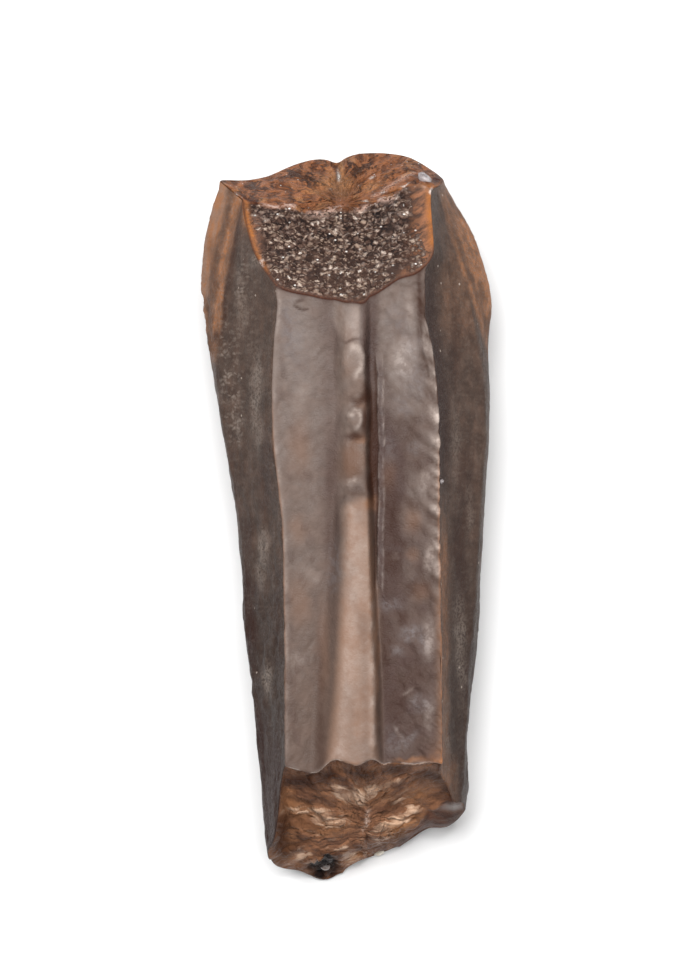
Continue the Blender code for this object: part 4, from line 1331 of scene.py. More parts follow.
def end_finish(board, colours, place, fine, specks):
    """The end face below the facet: the colour and the height of its rusty fibres."""
    fan = board.fan(place, CROWN_FAN, 11.0, 2.0, 1.2)
    wide = board.fan(place, CROWN_FAN, 5.0, 1.7, 1.1)
    fibres = board.blend(board.spread(fan["Fibres"], 0.2, 0.85), colours.fibre_dark, colours.fibre_light)
    fibres = board.blend(
        board.times(board.spread(fan["Slivers"], 0.7, 1.0), 0.4), fibres, colours.fibre_bright
    )
    dark = board.plus(board.times(wide["Fibres"], 0.4), board.times(fine["Patches"], 0.35))
    dark = board.plus(dark, board.times(fan["Fibres"], -0.35))
    dark = board.plus(board.times(board.mask("end_dark"), 0.34), dark)
    dark = board.spread(dark, 0.22, 0.5, 0.0, 0.88)
    fibres = board.layers(fibres, [
        (dark, colours.fibre_shade),
        (board.times(board.mask("end_warm"), 0.75), colours.fibre_bright),
        (board.times(board.mask("vein"), board.spread(fine["Grain"], 0.2, 0.8)), colours.crystal),
    ])
    # Painted glints scattered over the end face
    spark = board.times(specks, board.spread(fine["Patches"], 0.4, 0.8))
    fibres = board.blend(board.times(spark, 0.8), fibres, colours.glint)
    return fibres, board.plus(board.times(fan["Fibres"], 1.4), fan["Tops"])


def crown_material(colours):
    """The worn crown end: glossy granules in black, then rusty fibres past a crease of pink crystals."""
    material, board, shader, place = new_material("worn_crown")
    mottle = board.mottle(place, 1.2, 7.0)
    fine = board.mottle(place, 5.0, 14.0)
    specks = board.specks(place, 3.6, 0.12, 0.3)["Specks"]
    facet, grains, worms, sparks = facet_finish(board, colours, place, mottle, fine)
    fibres, fan_height = end_finish(board, colours, place, fine, specks)
    colour = board.blend(board.mask("end_face"), facet, fibres)
    crystals = board.times(board.mask("crease"), board.spread(fine["Patches"], 0.2, 0.6))
    colour = board.blend(crystals, colour, colours.crystal)
    # Painted glints along the crease
    crease_spark = board.times(board.spread(board.mask("crease"), 0.05, 0.5), board.most(specks, sparks))
    colour = board.blend(crease_spark, colour, colours.glint)
    rust = board.times(board.mask("rust"), board.spread(fine["Patches"], 0.0, 1.0, 0.6, 1.0))
    colour = board.layers(colour, [
        (rust, colours.rust_bright),
        (board.mask("stain"), colours.rim),
    ])
    # Painted glints at the placed glint marks
    sparkle = board.times(board.mask("bright"), board.spread(fine["Grain"], 0.2, 0.5))
    colour = board.blend(sparkle, colour, colours.glint)
    rough = board.spread(fine["Grain"], 0.0, 1.0, 0.3, 0.5, smooth=False)
    fan_height = board.times(fan_height, board.mask("end_face"))
    facet_height = board.plus(grains, board.times(worms, 0.5))
    height = board.plus(
        board.plus(fan_height, board.times(facet_height, 1.2)), board.times(fine["Height"], 0.9)
    )
    gloss = board.times(board.spread(grains, 0.1, 0.6, 0.05, 0.7), board.minus(1.0, board.mask("end_face")))
    gloss = board.most(gloss, board.times(board.mask("crease"), fine["Grain"]))
    coat = {"Specular IOR Level": 0.03, "Coat Weight": gloss, "Coat Roughness": 0.16}
    finish_material(board, shader, colour, rough, height, 0.13, coat)
    return material


def root_material(colours):
    """The broken root: brown fibres and pale slivers, a dark lobe and a black pit."""
    material, board, shader, place = new_material("broken_root")
    mottle = board.mottle(place, 1.3, 8.0)
    fan = board.fan(place, ROOT_FAN, 11.0, 1.1, 0.9, ROOT_FOLD)
    fine = board.fan(place, ROOT_FAN, 26.0, 1.7, 0.8, ROOT_FOLD)
    colour = board.blend(board.spread(fan["Fibres"], 0.1, 0.9), colours.root_dark, colours.root_brown)
    colour = board.blend(board.times(board.mask("warm"), 0.75), colour, colours.root_warm)
    light = board.plus(board.times(fine["Slivers"], 0.42), board.times(fan["Slivers"], 0.3))
    light = board.plus(light, board.times(fan["Fibres"], 0.2))
    light = board.plus(light, board.times(mottle["Patches"], 0.15))
    # Pale patches, with the ledge's painted highlight
    light = board.plus(light, board.times(board.mask("pale"), 0.72))
    # Pale slivers, lighter towards their rounded tops as a painted highlight
    light = board.times(board.spread(light, 0.72, 1.3), board.spread(fine["Tops"], 0.0, 0.6, 0.5, 1.0))
    colour = board.blend(light, colour, colours.root_light)
    # Painted shade in the gaps between the slivers, less at the seam
    gaps = board.times(
        board.spread(fan["Tops"], 0.25, 0.0), board.spread(board.mask("seam"), 0.0, 0.4, 0.5, 0.0)
    )
    colour = board.blend(board.times(gaps, 0.4), colour, colours.root_dark)
    lobe = board.blend(mottle["Patches"], colours.lobe, colours.root_shadow)
    # Painted sheen on the lobe's top
    lobe = board.blend(board.mask("sheen"), lobe, colours.lobe_sheen)
    colour = board.blend(board.mask("lobe"), colour, lobe)
    shade = board.times(board.mask("stain"), board.spread(light, 0.3, 1.0, 1.0, 0.6))
    colour = board.blend(shade, colour, colours.root_shadow)
    crystal = board.times(board.mask("bright"), board.spread(mottle["Grain"], 0.3, 0.7))
    colour = board.layers(colour, [
        (crystal, colours.root_crystal),
        (
            board.times(board.mask("pit"), board.spread(mottle["Patches"], 0.2, 0.8, 1.0, 0.8)),
            colours.facet_black
        ),
    ])
    rough = board.spread(mottle["Grain"], 0.0, 1.0, 0.35, 0.55, smooth=False)
    height = board.plus(board.times(fan["Tops"], 0.6), board.times(fine["Tops"], 0.35))
    height = board.plus(height, board.times(fine["Slivers"], 0.35))
    height = board.times(height, board.minus(1.0, board.mask("lobe")))
    height = board.plus(height, board.times(mottle["Height"], 0.5))
    gloss = board.most(board.times(light, 0.3), board.times(board.mask("sheen"), 0.35))
    coat = {"Specular IOR Level": 0.04, "Coat Weight": gloss, "Coat Roughness": 0.3}
    finish_material(board, shader, colour, rough, height, 0.14, coat)
    return material


def grain_material(name, dark, light, clearness):
    """A sand grain, frosted by fine pits: mottled between two colours, and as clear as asked."""
    material, board, shader, place = new_material(name)
    mottle = board.mottle(place, 3.0, 14.0)
    colour = board.blend(mottle["Patches"], dark, light)
    frost = board.spread(mottle["Grain"], 0, 1, 0.12, 0.3)
    clear = {"Transmission Weight": clearness, "IOR": QUARTZ_IOR}
    finish_material(board, shader, colour, frost, mottle["Height"], 0.04, clear)
    return material


# --- What a user may change --------------------------------------------------------------------------


def length_property(name, description, value_mm):
    return bpy.props.FloatProperty(name=name, description=description, default=value_mm, min=0.0, max=1.0)


def colour_property(name, value):
    return bpy.props.FloatVectorProperty(
        name=name, description=f"Colour of the {name.lower()}", default=value, subtype="COLOR", size=3,
        min=0.0, max=1.0
    )


class FossilToothSizes(bpy.types.PropertyGroup):
    bead_height: length_property(
        "Bead height", "Height of the beads on the right-hand margin, in millimetres", 0.2
    )
    thread_height: length_property(
        "Thread height", "Height of the thread-like second ridge, in millimetres", 0.08
    )
    granule_height: length_property(
        "Granule height", "Height of the granules on the wear facet, in millimetres", 0.12
    )
    fibre_depth: length_property("Fibre depth", "Depth of the fibres on the end face, in millimetres", 0.09)


class FossilToothColours(bpy.types.PropertyGroup):
    enamel_crown: colour_property("Enamel by the crown", (0.167, 0.13, 0.114))
    enamel_root: colour_property("Enamel by the root", (0.1, 0.067, 0.053))
    enamel_warm: colour_property("Warm patches of the enamel", (0.155, 0.104, 0.083))
    # Purplish plate, also used for painted shade in the hollow by the crest
    purple: colour_property("Purplish plate of the enamel", (0.062, 0.036, 0.032))
    warm: colour_property("Brown patches of the enamel", (0.22, 0.108, 0.06))
    crest: colour_property("Crest of the ridge", (0.3, 0.215, 0.172))
    crest_warm: colour_property("Warm parts of the crest", (0.25, 0.155, 0.112))
    # Painted sheen of the enamel
    sheen: colour_property("Blue-grey sheen", (0.21, 0.187, 0.19))
    # Pale patches and painted highlights of the enamel
    bright: colour_property("Brightest enamel", (0.52, 0.43, 0.38))
    # Stains and painted shade in the troughs, grooves and hollows
    stain: colour_property("Stain in the troughs", (0.036, 0.013, 0.007))
    rust: colour_property("Rusty bands", (0.33, 0.138, 0.058))
    rust_bright: colour_property("Rusty rims", (0.42, 0.15, 0.04))
    dentine: colour_property("Dentine", (0.062, 0.042, 0.033))
    dentine_deep: colour_property("Dark patches of the dentine", (0.026, 0.016, 0.013))
    dentine_pale: colour_property("Pale streaks of the dentine", (0.14, 0.1, 0.082))
    dentine_warm: colour_property("Warm patches of the dentine", (0.1, 0.06, 0.044))
    dark_flank: colour_property("Shadowed flank", (0.03, 0.013, 0.01))
    strip: colour_property("Worn strips", (0.3, 0.18, 0.125))
    strip_dull: colour_property("Dull patches of the worn strips", (0.17, 0.1, 0.07))
    speck: colour_property("Mineral specks", (0.4, 0.33, 0.28))
    facet_black: colour_property("Black of the wear facet", (0.014, 0.01, 0.01))
    facet_brown: colour_property("Brown of the wear facet", (0.038, 0.021, 0.016))
    facet_warm: colour_property("Warm side of the facet", (0.38, 0.165, 0.085))
    facet_smooth: colour_property("Smooth border of the facet", (0.12, 0.07, 0.054))
    granule_dark: colour_property("Dark granules", (0.085, 0.048, 0.036))
    granule_dull: colour_property("Dull granules", (0.18, 0.112, 0.084))
    granule: colour_property("Granules", (0.37, 0.265, 0.2))
    # Painted highlights on the granules' tops
    granule_highlight: colour_property("Tops of the granules", (0.66, 0.53, 0.44))
    # Painted glints
    glint: colour_property("Glints", (0.95, 0.9, 0.85))
    fibre_dark: colour_property("Dark fibres of the end face", (0.14, 0.05, 0.022))
    fibre_light: colour_property("Light fibres of the end face", (0.34, 0.132, 0.058))
    fibre_bright: colour_property("Bright fibres of the end face", (0.55, 0.27, 0.12))
    fibre_shade: colour_property("Dark patches of the end face", (0.055, 0.024, 0.015))
    crystal: colour_property("Crystals along the crease", (0.52, 0.33, 0.26))
    rim: colour_property("Cut edge of the enamel", (0.05, 0.013, 0.007))
    root_dark: colour_property("Dark fibres of the root", (0.12, 0.056, 0.034))
    root_brown: colour_property("Brown fibres of the root", (0.235, 0.109, 0.058))
    root_warm: colour_property("Rusty patches of the root", (0.36, 0.165, 0.072))
    root_light: colour_property("Pale slivers of the root", (0.6, 0.395, 0.27))
    root_shadow: colour_property("Recess under the enamel", (0.045, 0.016, 0.008))
    root_crystal: colour_property("Crystals of the root", (0.6, 0.44, 0.36))
    lobe: colour_property("Dark lobe of the root", (0.13, 0.05, 0.026))
    # Painted sheen on the lobe
    lobe_sheen: colour_property("Sheen on the lobe", (0.2, 0.16, 0.145))


# --- Finishes laid on the tooth's zones ------------------------------------------------------------------


def places(points, first, last):
    """Where each point lies, with its distances from the edges that the zones follow and one soft cloud."""
    x, y, z = points[..., 0], points[..., 1], points[..., 2]
    return SimpleNamespace(
        x=x, y=y, z=z, from_margin=line(RIGHT_MARGIN, y) - x, from_left=x - line(LEFT_MARGIN, y),
        past_crest=x - line(CREST_RIGHT, y), from_crest=x - line(CREST_LEFT, y),
        crown_gap=rim_distance(points, last), root_gap=rim_distance(points, first),
        cloud=rough(x / 0.9, y / 1.3, seed=201),
    )


def purple_and_shade_zone(at, thread):
    """How purplish the enamel is: right plate, trough, painted shade in the hollow by the crest, and smudges
    at the left.
    """
    x, y, cloud = at.x, at.y, at.cloud
    # Painted shade in the hollow along the crest's left foot
    hollow = smooth_step(-1.6, -0.4, at.from_crest) * smooth_step(0.1, -0.3, at.from_crest)
    hollow = hollow * line(HOLLOW, y) * (0.8 + 0.4 * cloud)
    near, far = line(DUSK_NEAR, y), line(DUSK_FAR, y)
    dusk = far + (near - far) * smooth_step(0.35, -0.35, x - line(DUSK_EDGE, y) + 0.3 * cloud)
    dusk = np.clip(dusk + 0.25 * rough(x / 0.55, y / 0.5, seed=205), 0, 1)
    plate = smooth_step(0.1, 0.5, at.past_crest) * dusk * smooth_step(0.0, 0.5, at.from_margin)
    trough = smooth_step(1.85, 1.35, x) * smooth_step(5.5, 7.0, y) * smooth_step(-0.1, 0.2, at.past_crest)
    smudge = smooth_step(0.0, 0.5, -1.2 - x) * smooth_step(0.05, 0.7, rough(x / 0.5 + 0.3 * y, y, seed=207))
    low_left = 0.3 * smooth_step(-4, -11, y) * smooth_step(0.3, -0.9, x + 2.2 + 0.6 * cloud)
    purple = highest(plate, 0.75 * trough, hollow, 0.6 * thread, 0.34 * smudge)
    return np.clip(0.85 * purple + low_left, 0, 1)


def pale_and_highlight_zone(at, marks):
    """The brightest enamel, pale patches and painted highlights: placed marks, lit rims of bumps and thread,
    beads, lit edges.
    """
    x, y = at.x, at.y
    middle = bump_at(at.from_crest, 0.45, 0.32) * smooth_step(0.2, -1.5, y)
    edge = bump_at(at.past_crest, -0.18, 0.14) * smooth_step(-3.0, -4.5, y)
    # Placed pale patches and painted highlights
    return highest(
        # Painted highlight on the right-hand rims of the crest's bumps
        bell_marks(x, y, PALE_AND_HIGHLIGHT_MARKS, 221),
        # Painted highlight along the thread's edges
        0.55 * marks["drop_rim_highlight"],
        # Painted highlights on the bead tops
        0.35 * marks["thread_rim_highlight"] * smooth_step(-0.6, 0.2, noise(x * 2, y * 3, seed=223)),
        # Painted highlight along the middle of the crest
        np.clip(1.3 * marks["bead"] ** 2, 0, 1) * smooth_step(-4.5, -3.0, y),
        # Painted highlight along the crest's right-hand edge
        0.25 * middle * (0.75 + 0.4 * noise(y * 1.3, 0, seed=228)),
        # Painted highlight along the rounded left margin
        0.35 * edge * smooth_step(-0.8, 0.4, noise(y * 3, 0, seed=227)),
        # Painted highlight along the enamel's broken edge by the root
        0.3 * bump_at(at.from_left, 0.1, 0.12) * (0.6 + 0.4 * noise(y * 1.5, 0, seed=225)),
        0.75 * np.exp(-at.root_gap / 0.05) * smooth_step(-0.4, 0.4, noise(x * 2, 0, seed=226)),
    )


def enamel_zones(at, marks):
    """Enamel finishes: stains and painted shade in troughs, pale crest, painted highlights and sheen, rusty
    margins, warm patches.
    """
    x, y, cloud = at.x, at.y, at.cloud
    crest = line(RIDGE_CREST, y)
    on_right = smooth_step(0.0, 0.6, x - crest - line(RIDGE_RIGHT_HALF, y))
    trough = (
        bump_at(at.past_crest, 0.22, 0.22) * smooth_step(10.0, 7.0, y) * (0.8 + 0.2 * noise(y, 0, seed=202))
    )
    low_crest = smooth_step(1.25, 0.65, y - 0.45 * (x - crest) + 0.25 * noise(x * 2.4, 0, seed=203))
    low_crest = low_crest * (0.68 - 0.08 * smooth_step(-6, -10, y) + 0.22 * smooth_step(-0.5, 0.3, cloud))
    # The crest's satin top: pale colour with a painted sheen
    high_crest_sheen = (
        line(UPPER_LIGHT, y) * smooth_step(10.6, 10.2, y) * smooth_step(1.3, 1.6, y) * (0.75 + 0.5 * cloud)
    )
    low_margin = smooth_step(-3.0, -4.4, y) * smooth_step(-12.5, -10.8, y) * (0.7 + 0.3 * cloud)
    rust_margin = highest(
        0.7 * bump_at(at.from_margin, -0.05, 0.12) * smooth_step(5.0, 1.0, y),
        0.36 * low_margin * bump_at(at.from_margin, 0.0, 0.24),
    )
    rust_left = 0.4 * bump_at(at.from_left, -0.04, 0.09) * smooth_step(-13, -3, y) * smooth_step(7, 4, y)
    warm_crest = 0.3 * bump_at(at.from_crest, 0.15, 0.3) * smooth_step(-3.0, -5.5, y)
    return {
        "stain": highest(
            # Placed stains and painted shade
            bell_marks(x, y, STAIN_AND_SHADE_MARKS, 211),
            # The trough right of the crest, darkened by stains and painted shade
            trough * (0.38 - 0.1 * smooth_step(1.5, 0.0, y)),
            0.22 * bump_at(at.past_crest, -0.55, 0.26) * smooth_step(-4.0, -6.0, y),
            # Painted shade in the low hollows between the right plate's lumps
            0.3 * on_right * smooth_step(0.1, -0.6, 0.5 * marks["lumps"]),
            0.85 * np.exp(-at.crown_gap / 0.08),
        ),
        "purple": purple_and_shade_zone(at, marks["thread"]),
        "pale": marks["crest"] * highest(low_crest, high_crest_sheen),
        "bright": pale_and_highlight_zone(at, marks),
        # Painted sheen, also along the thread
        "sheen": highest(0.8 * bell_marks(x, y, SHEEN_MARKS, 231), 0.2 * marks["thread"]),
        "warm": highest(bell_marks(x, y, WARM_MARKS, 241), warm_crest),
        "rust": rust_margin + rust_left + bump_at(x, 4.6, 0.5) * np.exp(-at.root_gap / 0.35),
    }


def side_zones(at, face):
    """Finishes of the flanks, the worn strips and the back: rusty bands, shadows, pale patches and flecks."""
    x, y, z, from_margin = at.x, at.y, at.z, at.from_margin
    left_flank, right_flank = in_stretches("left flank"), in_stretches("right flank")
    on_left = in_stretches("left flank", "left strip", "left back")
    on_right = in_stretches("right flank", "right strip", "right back")
    above_back = smooth_step(2.8, 4.8, z)
    grain = noise(x * 5, y * 1.6, z * 5, seed=251)

    past_band = line(LEFT_BAND, y) - x + 0.07 * grain
    band = bump_at(past_band, 0.1, 0.3) * smooth_step(7.0, 8.6, y)
    outer = smooth_step(0.0, 0.2, past_band) * smooth_step(7.5, 9.0, y)
    band_edge = bump_at(past_band, -0.3, 0.12) * smooth_step(8.5, 10, y)
    lens = bump_at(past_band, 0.5, 0.2) * smooth_step(9.5, 11, y) * smooth_step(15.8, 14, y)
    from_band = x - line(RIGHT_BAND, y)
    past_right = from_band + 0.06 * grain
    right_rust = smooth_step(0.0, 0.25, past_right) * smooth_step(6.2, 8.0, y)
    right_outer = smooth_step(0.5, 1.0, past_right) * smooth_step(7.5, 9, y)
    stripes = 0.45 + 0.55 * smooth_step(-0.3, 0.4, noise(from_band * 4.5, y / 4, z * 1.5, seed=257))

    under = smooth_step(4.6, 2.6, z + 0.8 * rough(x * 0.5, y * 0.6, z * 0.5, seed=275))
    low_strip = bump_at(from_margin, -0.2, 0.28) * smooth_step(1.5, -2.5, y) * (0.75 + 0.25 * grain)
    low_strip = low_strip * smooth_step(-12.9, -11.8, y) * smooth_step(7.2, 9.0, z)
    flange = np.exp(-at.crown_gap / 0.3) * smooth_step(8.4, 7.4, z)
    upper_side = smooth_step(7.0, 10.5, y) * smooth_step(-0.4, -1.0, from_margin)
    wedge = smooth_step(-11.4, -12.6, y) * smooth_step(-1.0, -0.4, from_margin) * (0.7 + 0.3 * at.cloud)
    back_bands = (
        (1 - face) * smooth_step(4.7, 3.0, z) * smooth_step(0.15, 0.5, noise(x * 0.9, y / 5, seed=263))
    )
    right_side = highest(0.75 * right_rust * stripes, right_outer * (0.7 + 0.4 * stripes))
    rust = (on_left * highest(band, 0.45 * outer) + on_right * right_side) * (1 - 0.75 * under)
    rust = rust + right_flank * (0.75 * low_strip + 0.16 * upper_side + 0.5 * wedge)
    rust = rust + left_flank * flange + 0.35 * back_bands

    on_sides = (on_left + on_right) * above_back
    shadow = smooth_step(-1.0, -0.1, from_margin) * smooth_step(-0.5, 4, y) * smooth_step(13.5, 11.5, y)
    pale = bell_marks(x, y, FLANK_PALE_MARKS, 271) * on_sides
    vein = bump_at(path_distance(x, y, FLANK_VEIN), 0, 0.05) * left_flank * (0.6 + 0.4 * grain)
    return {
        "rust": rust,
        "stain": highest(
            on_left * (0.6 * band_edge + 0.12 * lens) + 0.8 * right_flank * shadow,
            bell_marks(x, y, FLANK_DARK_MARKS, 273) * on_sides,
        ),
        "pale": 0.75 * highest(pale * (0.6 + 0.5 * rough(x * 2, y * 1.6, z * 2, seed=272)), 0.8 * vein),
        "strip": on_left * np.clip(0.85 * smooth_step(0.45, 0.75, past_band) * outer - 0.5 * lens, 0, 1),
        "fleck": bell_marks(x, y, FLECK_MARKS, 281) * on_left * above_back,
    }


def crown_zones(at, on_end):
    """Finishes of the crown's end: rims of rust, a dark cut edge, cracks, a smooth border and streaks."""
    x, y, z, gap = at.x, at.y, at.z, at.crown_gap
    right_rim = smooth_step(3.75, 4.1, x) * smooth_step(10.4, 9.9, z) * smooth_step(5.4, 6.0, z)
    right_rim = right_rim * np.exp(-((gap / 0.42) ** 3)) * (0.85 + 0.15 * noise(y * 2, 0, seed=267))
    left_rim = bump_at(gap, 0.2, 0.15) * smooth_step(-3.6, -4.2, x) * smooth_step(5.3, 6.0, z)
    left_flat = smooth_step(-3.95, -4.4, x) * smooth_step(12.4, 13.2, y) * smooth_step(15.2, 14.6, y)
    suture = bump_at(x, SUTURE_X + 0.12 * noise(y * 2.5, 0, seed=299), 0.1) * smooth_step(16.4, 17.2, y)
    return {
        "stain": highest(
            0.9 * np.exp(-((gap / 0.1) ** 2)) * (1 - right_rim),
            bell_marks(x, y, CROWN_CRACKS, 297),
            0.85 * suture * on_end,
        ),
        "rust": right_rim + (0.8 + 0.3 * noise(y * 2.5, 0, seed=261)) * left_rim,
        # Painted glints at the placed glint marks
        "bright": bell_marks(x, y, GLINT_MARKS, 301),
        "smooth": highest(np.exp(-gap / 0.2), left_flat),
        "streaky": smooth_step(2.5, 3.9, x + 0.5 * at.cloud),
        "end_warm": bell_marks(x, y, END_WARM_MARKS, 293),
        "end_dark": bell_marks(x, y, END_DARK_MARKS, 295),
    }


def root_zones(at, seam, pit):
    """Fracture: painted shade in the recess, pale and warm patches, a painted ledge highlight, seam crystals,
    the lobe's painted sheen.
    """
    x, y = at.x, at.y
    # Painted shade in the recess just under the enamel's broken edge
    recess = 0.85 * np.exp(-at.root_gap / 0.3) * smooth_step(8.0, 9.5, at.z)
    return {
        "stain": highest(bell_marks(x, y, ROOT_DARK_AND_SHADE_MARKS, 285), recess, 0.85 * pit),
        "pale": bell_marks(x, y, ROOT_PALE_AND_HIGHLIGHT_MARKS, 289),
        "bright": 0.8 * seam * smooth_step(-0.3, 0.4, noise(x * 4, y * 4, seed=287)),
        # Painted sheen on the lobe's top; it also weights the lobe's clear coat
        "sheen": bump_at(x, 5.25, 0.55) * bump_at(y, -14.5, 0.22),
        "warm": bell_marks(x, y, ROOT_WARM_MARKS, 291),
    }


def zone_masks(points, masks, marks, first, last):
    """One mask for each finish: what it comes to on the face, sides, crown's end and root's end."""
    at = places(points, first, last)
    side, crown, root = parts(points, first, last)
    face = in_stretches(*FACE_STRETCHES)
    zones = [
        (side * face, enamel_zones(at, marks)),
        (side, side_zones(at, face)),
        (crown, crown_zones(at, masks["end_face"])),
        (root, root_zones(at, masks["seam"], masks["pit"])),
    ]
    names = sorted({name for _, finishes in zones for name in finishes})
    return {
        name: np.clip(sum(on * finishes.get(name, 0.0) for on, finishes in zones), 0, 1) for name in names
    }


# --- Operators ---------------------------------------------------------------------------------------------


class TOOTH_OT_body(bpy.types.Operator):
    """Build the tooth's surface with its relief, masks and materials"""

    bl_idname = "fossil.tooth_body"
    bl_label = "Build tooth"

    def execute(self, context):
        sizes, colours = context.scene.fossil_tooth_sizes, context.scene.fossil_tooth_colours
        points, masks, marks, first, last = tooth_surface(sizes)
        masks.update(zone_masks(points, masks, marks, first, last))
        rows, columns = points.shape[:2]
        plain_offset = tooth_offset(plain_tooth()[0])
        before, beyond = points[0].mean(axis=0), points[-1].mean(axis=0)
        squares, start, stop = grid_faces(rows, columns)
        places = np.concatenate([points.reshape(-1, 3), [before, beyond]]) + plain_offset
        materials = [
            enamel_material(colours), dentine_material(colours), crown_material(colours),
            root_material(colours),
        ]
        piece = new_piece("tooth_surface", places * MM, squares, np.concatenate([start, stop]), materials)
        for name, values in masks.items():
            values = np.concatenate([np.broadcast_to(values, (rows, columns)).reshape(-1), [0.0, 0.0]])
            layer = piece.data.attributes.new(name, "FLOAT", "POINT")
            layer.data.foreach_set("value", values.astype(np.float32))
        row_of = np.repeat(np.arange(rows - 1), columns)
        stretch = np.tile(STRETCH_OF, rows - 1)
        kind = np.where(stretch <= 3, 0, 1)
        kind = np.where(row_of >= last, 2, np.where(row_of < first, 3, kind))
        kind = np.concatenate([kind, np.full(columns, 3), np.full(columns, 2)]).astype(np.int32)
        piece.data.polygons.foreach_set("material_index", kind)
        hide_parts("tooth")
        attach(piece, "root")
        return {"FINISHED"}


def grain_points(centre, radii, degrees, seed, rows=18, columns=28):
    """A rounded grain: a sphere's points, stretched, turned about Z and moved in or out by noise."""
    polar = np.linspace(0, np.pi, rows + 2)[1:-1, None]
    turn = np.linspace(0, 2 * np.pi, columns, endpoint=False)[None, :]
    way = np.stack(
        [np.sin(polar) * np.cos(turn), np.sin(polar) * np.sin(turn), np.cos(polar) * np.ones_like(turn)],
        axis=-1
    )
    size = 1 + 0.16 * rough(way[..., 0] * 1.3, way[..., 1] * 1.3, way[..., 2] * 1.3, seed=seed)
    local = way * size[..., None] * np.array(radii)
    tilt = np.radians(degrees)
    turned = [
        local[..., 0] * np.cos(tilt) - local[..., 1] * np.sin(tilt),
        local[..., 0] * np.sin(tilt) + local[..., 1] * np.cos(tilt)
    ]
    return np.array(centre) + np.stack([*turned, local[..., 2]], axis=-1)


GRAINS = [  # (name, material, centre in the tooth's millimetres, half sizes, degrees turned, seed)
    ("quartz_grain_large", "quartz", (3.93, 16.86, 6.24), (0.4, 0.24, 0.3), -38, 301),
    ("quartz_grain_small", "quartz", (4.69, 1.75, 10.4), (0.12, 0.12, 0.11), 0, 307),
    # The root's white grain sits where a white glint shows: partly a grain, partly a painted glint
    ("root_grain_and_glint", "white_grain_and_glint", (1.68, -17.11, 0.4), (0.27, 0.16, 0.18), 15, 311),
    ("grey_grain_root", "grey_grain", (-1.05, -17.72, 1.45), (0.26, 0.24, 0.24), 0, 313),
]
GRAIN_FINISHES = {  # name: (darker colour, lighter colour, clearness)
    "quartz": ((0.16, 0.13, 0.13), (0.5, 0.45, 0.45), 0.15),
    # Near-white: partly the grain's colour, partly a painted glint
    "white_grain_and_glint": ((0.6, 0.52, 0.4), (0.85, 0.8, 0.7), 0.0),
    "grey_grain": ((0.05, 0.04, 0.035), (0.24, 0.19, 0.17), 0.0),
}


class TOOTH_OT_grains(bpy.types.Operator):
    """Add the sand grains that sit on the tooth"""

    bl_idname = "fossil.sand_grains"
    bl_label = "Add sand grains"

    def execute(self, context):
        offset = tooth_offset(plain_tooth()[0])
        finishes = {name: grain_material(name, *finish) for name, finish in GRAIN_FINISHES.items()}
        for name, finish, centre, radii, degrees, seed in GRAINS:
            points = grain_points(centre, radii, degrees, seed)[::-1]
            rows, columns = points.shape[:2]
            squares, start, stop = grid_faces(rows, columns)
            ends = [points[0].mean(axis=0), points[-1].mean(axis=0)]
            places = np.concatenate([points.reshape(-1, 3), ends]) + offset
            piece = new_piece(name, places * MM, squares, np.concatenate([start, stop]), [finishes[finish]])
            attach(piece, "root")
        return {"FINISHED"}


STUDIO_STRENGTH = 0.2
LIGHT_AIM = (0.0, 0.0, 0.006)  # in metres
LIGHTS = [  # (name, place in metres, size in metres, power in watts)
    ("key", (-0.06, 0.12, 0.44), 0.22, 2.6),
    ("fill", (0.25, -0.05, 0.4), 0.25, 0.6),
    ("spark", (0.05, 0.1, 0.45), 0.03, 0.3),
]


def add_light(name, place, size, power):
    """A square area light that faces the tooth."""
    lamp = bpy.data.lights.new(name, "AREA")
    lamp.size, lamp.energy = size, power
    holder = bpy.data.objects.new(name, lamp)
    bpy.context.scene.collection.objects.link(holder)
    holder.location = place
    holder.rotation_euler = (Vector(LIGHT_AIM) - Vector(place)).to_track_quat("-Z", "Y").to_euler()


def floor_material():
    """Matt off-white paper with a faint tooth."""
    material, board, shader, place = new_material("pale_floor")
    mottle = board.mottle(place, 0.02, 2.0)
    colour = board.blend(mottle["Patches"], (0.86, 0.86, 0.86), (0.88, 0.88, 0.88))
    rough = board.spread(mottle["Grain"], 0, 1, 0.85, 0.95)
    finish_material(board, shader, colour, rough, mottle["Grain"], 0.002, {"Specular IOR Level": 0.1})
    return material


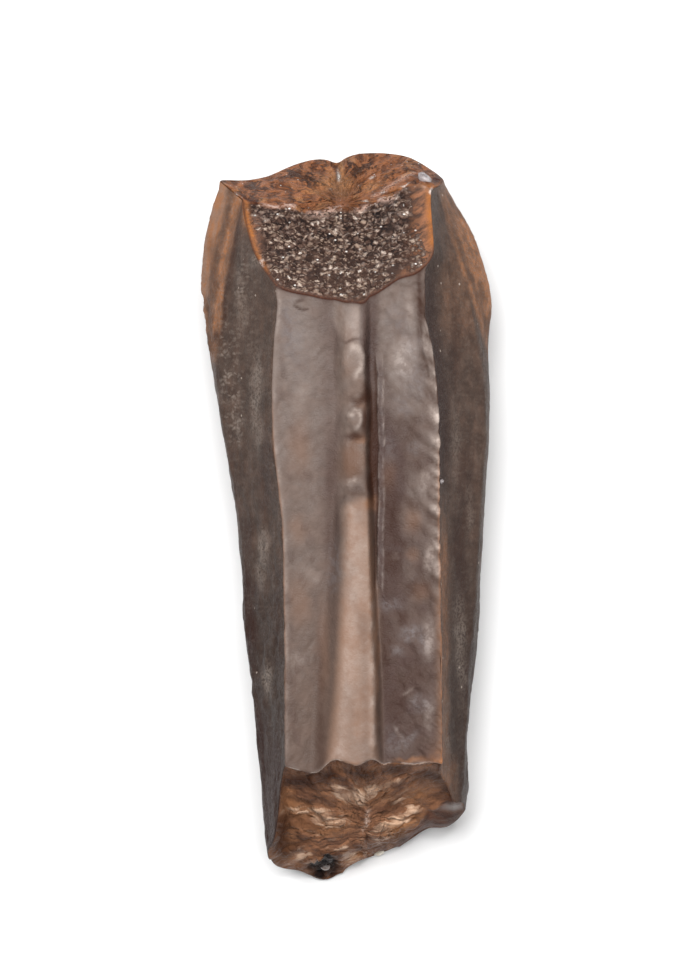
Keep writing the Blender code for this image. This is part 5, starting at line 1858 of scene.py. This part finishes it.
class TOOTH_OT_stage(bpy.types.Operator):
    """Add the pale floor, the soft lights and the camera"""

    bl_idname = "fossil.tooth_stage"
    bl_label = "Build stage"

    def execute(self, context):
        scene = context.scene
        half = FLOOR_SIZE / 2
        corners_of = np.array([(-half, -half, 0), (half, -half, 0), (half, half, 0), (-half, half, 0)], float)
        floor = new_piece(
            "floor", corners_of, np.array([[0, 1, 2, 3]]), np.zeros((0, 3), int), [floor_material()]
        )
        for light in LIGHTS:
            add_light(*light)
        world = bpy.data.worlds.new("studio")
        world.use_nodes = True
        world.node_tree.nodes["Background"].inputs["Color"].default_value = (1.0, 1.0, 1.0, 1.0)
        world.node_tree.nodes["Background"].inputs["Strength"].default_value = STUDIO_STRENGTH
        scene.world = world
        offset = tooth_offset(plain_tooth()[0])
        aim = (np.array(CAMERA_AIM) + offset) * MM
        lens = bpy.data.cameras.new("camera")
        lens.lens, lens.sensor_width = CAMERA_FOCAL_MM, SENSOR_MM
        lens.clip_start, lens.clip_end = CAMERA_SEES
        camera = bpy.data.objects.new("camera", lens)
        camera.location = aim + np.array([0, 0, CAMERA_DISTANCE])
        scene.collection.objects.link(camera)
        scene.camera = camera
        scene.view_settings.view_transform = "Standard"
        return {"FINISHED"}


class TOOTH_PT_panel(bpy.types.Panel):
    """Sizes, colours and build steps of the fossil tooth"""

    bl_idname = "TOOTH_PT_panel"
    bl_label = "Fossil Tooth"
    bl_space_type = "VIEW_3D"
    bl_region_type = "UI"
    bl_category = "Fossil Tooth"

    def draw(self, context):
        layout = self.layout
        for group in (context.scene.fossil_tooth_sizes, context.scene.fossil_tooth_colours):
            for name in group.__annotations__:
                layout.prop(group, name)
        for operator in (TOOTH_OT_body, TOOTH_OT_grains, TOOTH_OT_stage):
            layout.operator(operator.bl_idname)


CLASSES = (
    FossilToothSizes, FossilToothColours, TOOTH_OT_body, TOOTH_OT_grains, TOOTH_OT_stage, TOOTH_PT_panel
)


def register():
    for each in CLASSES:
        bpy.utils.register_class(each)
    bpy.types.Scene.fossil_tooth_sizes = bpy.props.PointerProperty(type=FossilToothSizes)
    bpy.types.Scene.fossil_tooth_colours = bpy.props.PointerProperty(type=FossilToothColours)


def unregister():
    del bpy.types.Scene.fossil_tooth_sizes
    del bpy.types.Scene.fossil_tooth_colours
    for each in reversed(CLASSES):
        bpy.utils.unregister_class(each)


def main():
    register()
    build_mottle_group()
    build_streak_group()
    build_speck_group()
    build_granule_group()
    build_fan_group()
    bpy.ops.fossil.tooth_body()
    bpy.ops.fossil.sand_grains()
    bpy.ops.fossil.tooth_stage()
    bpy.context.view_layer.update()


if __name__ == "__main__":
    main()
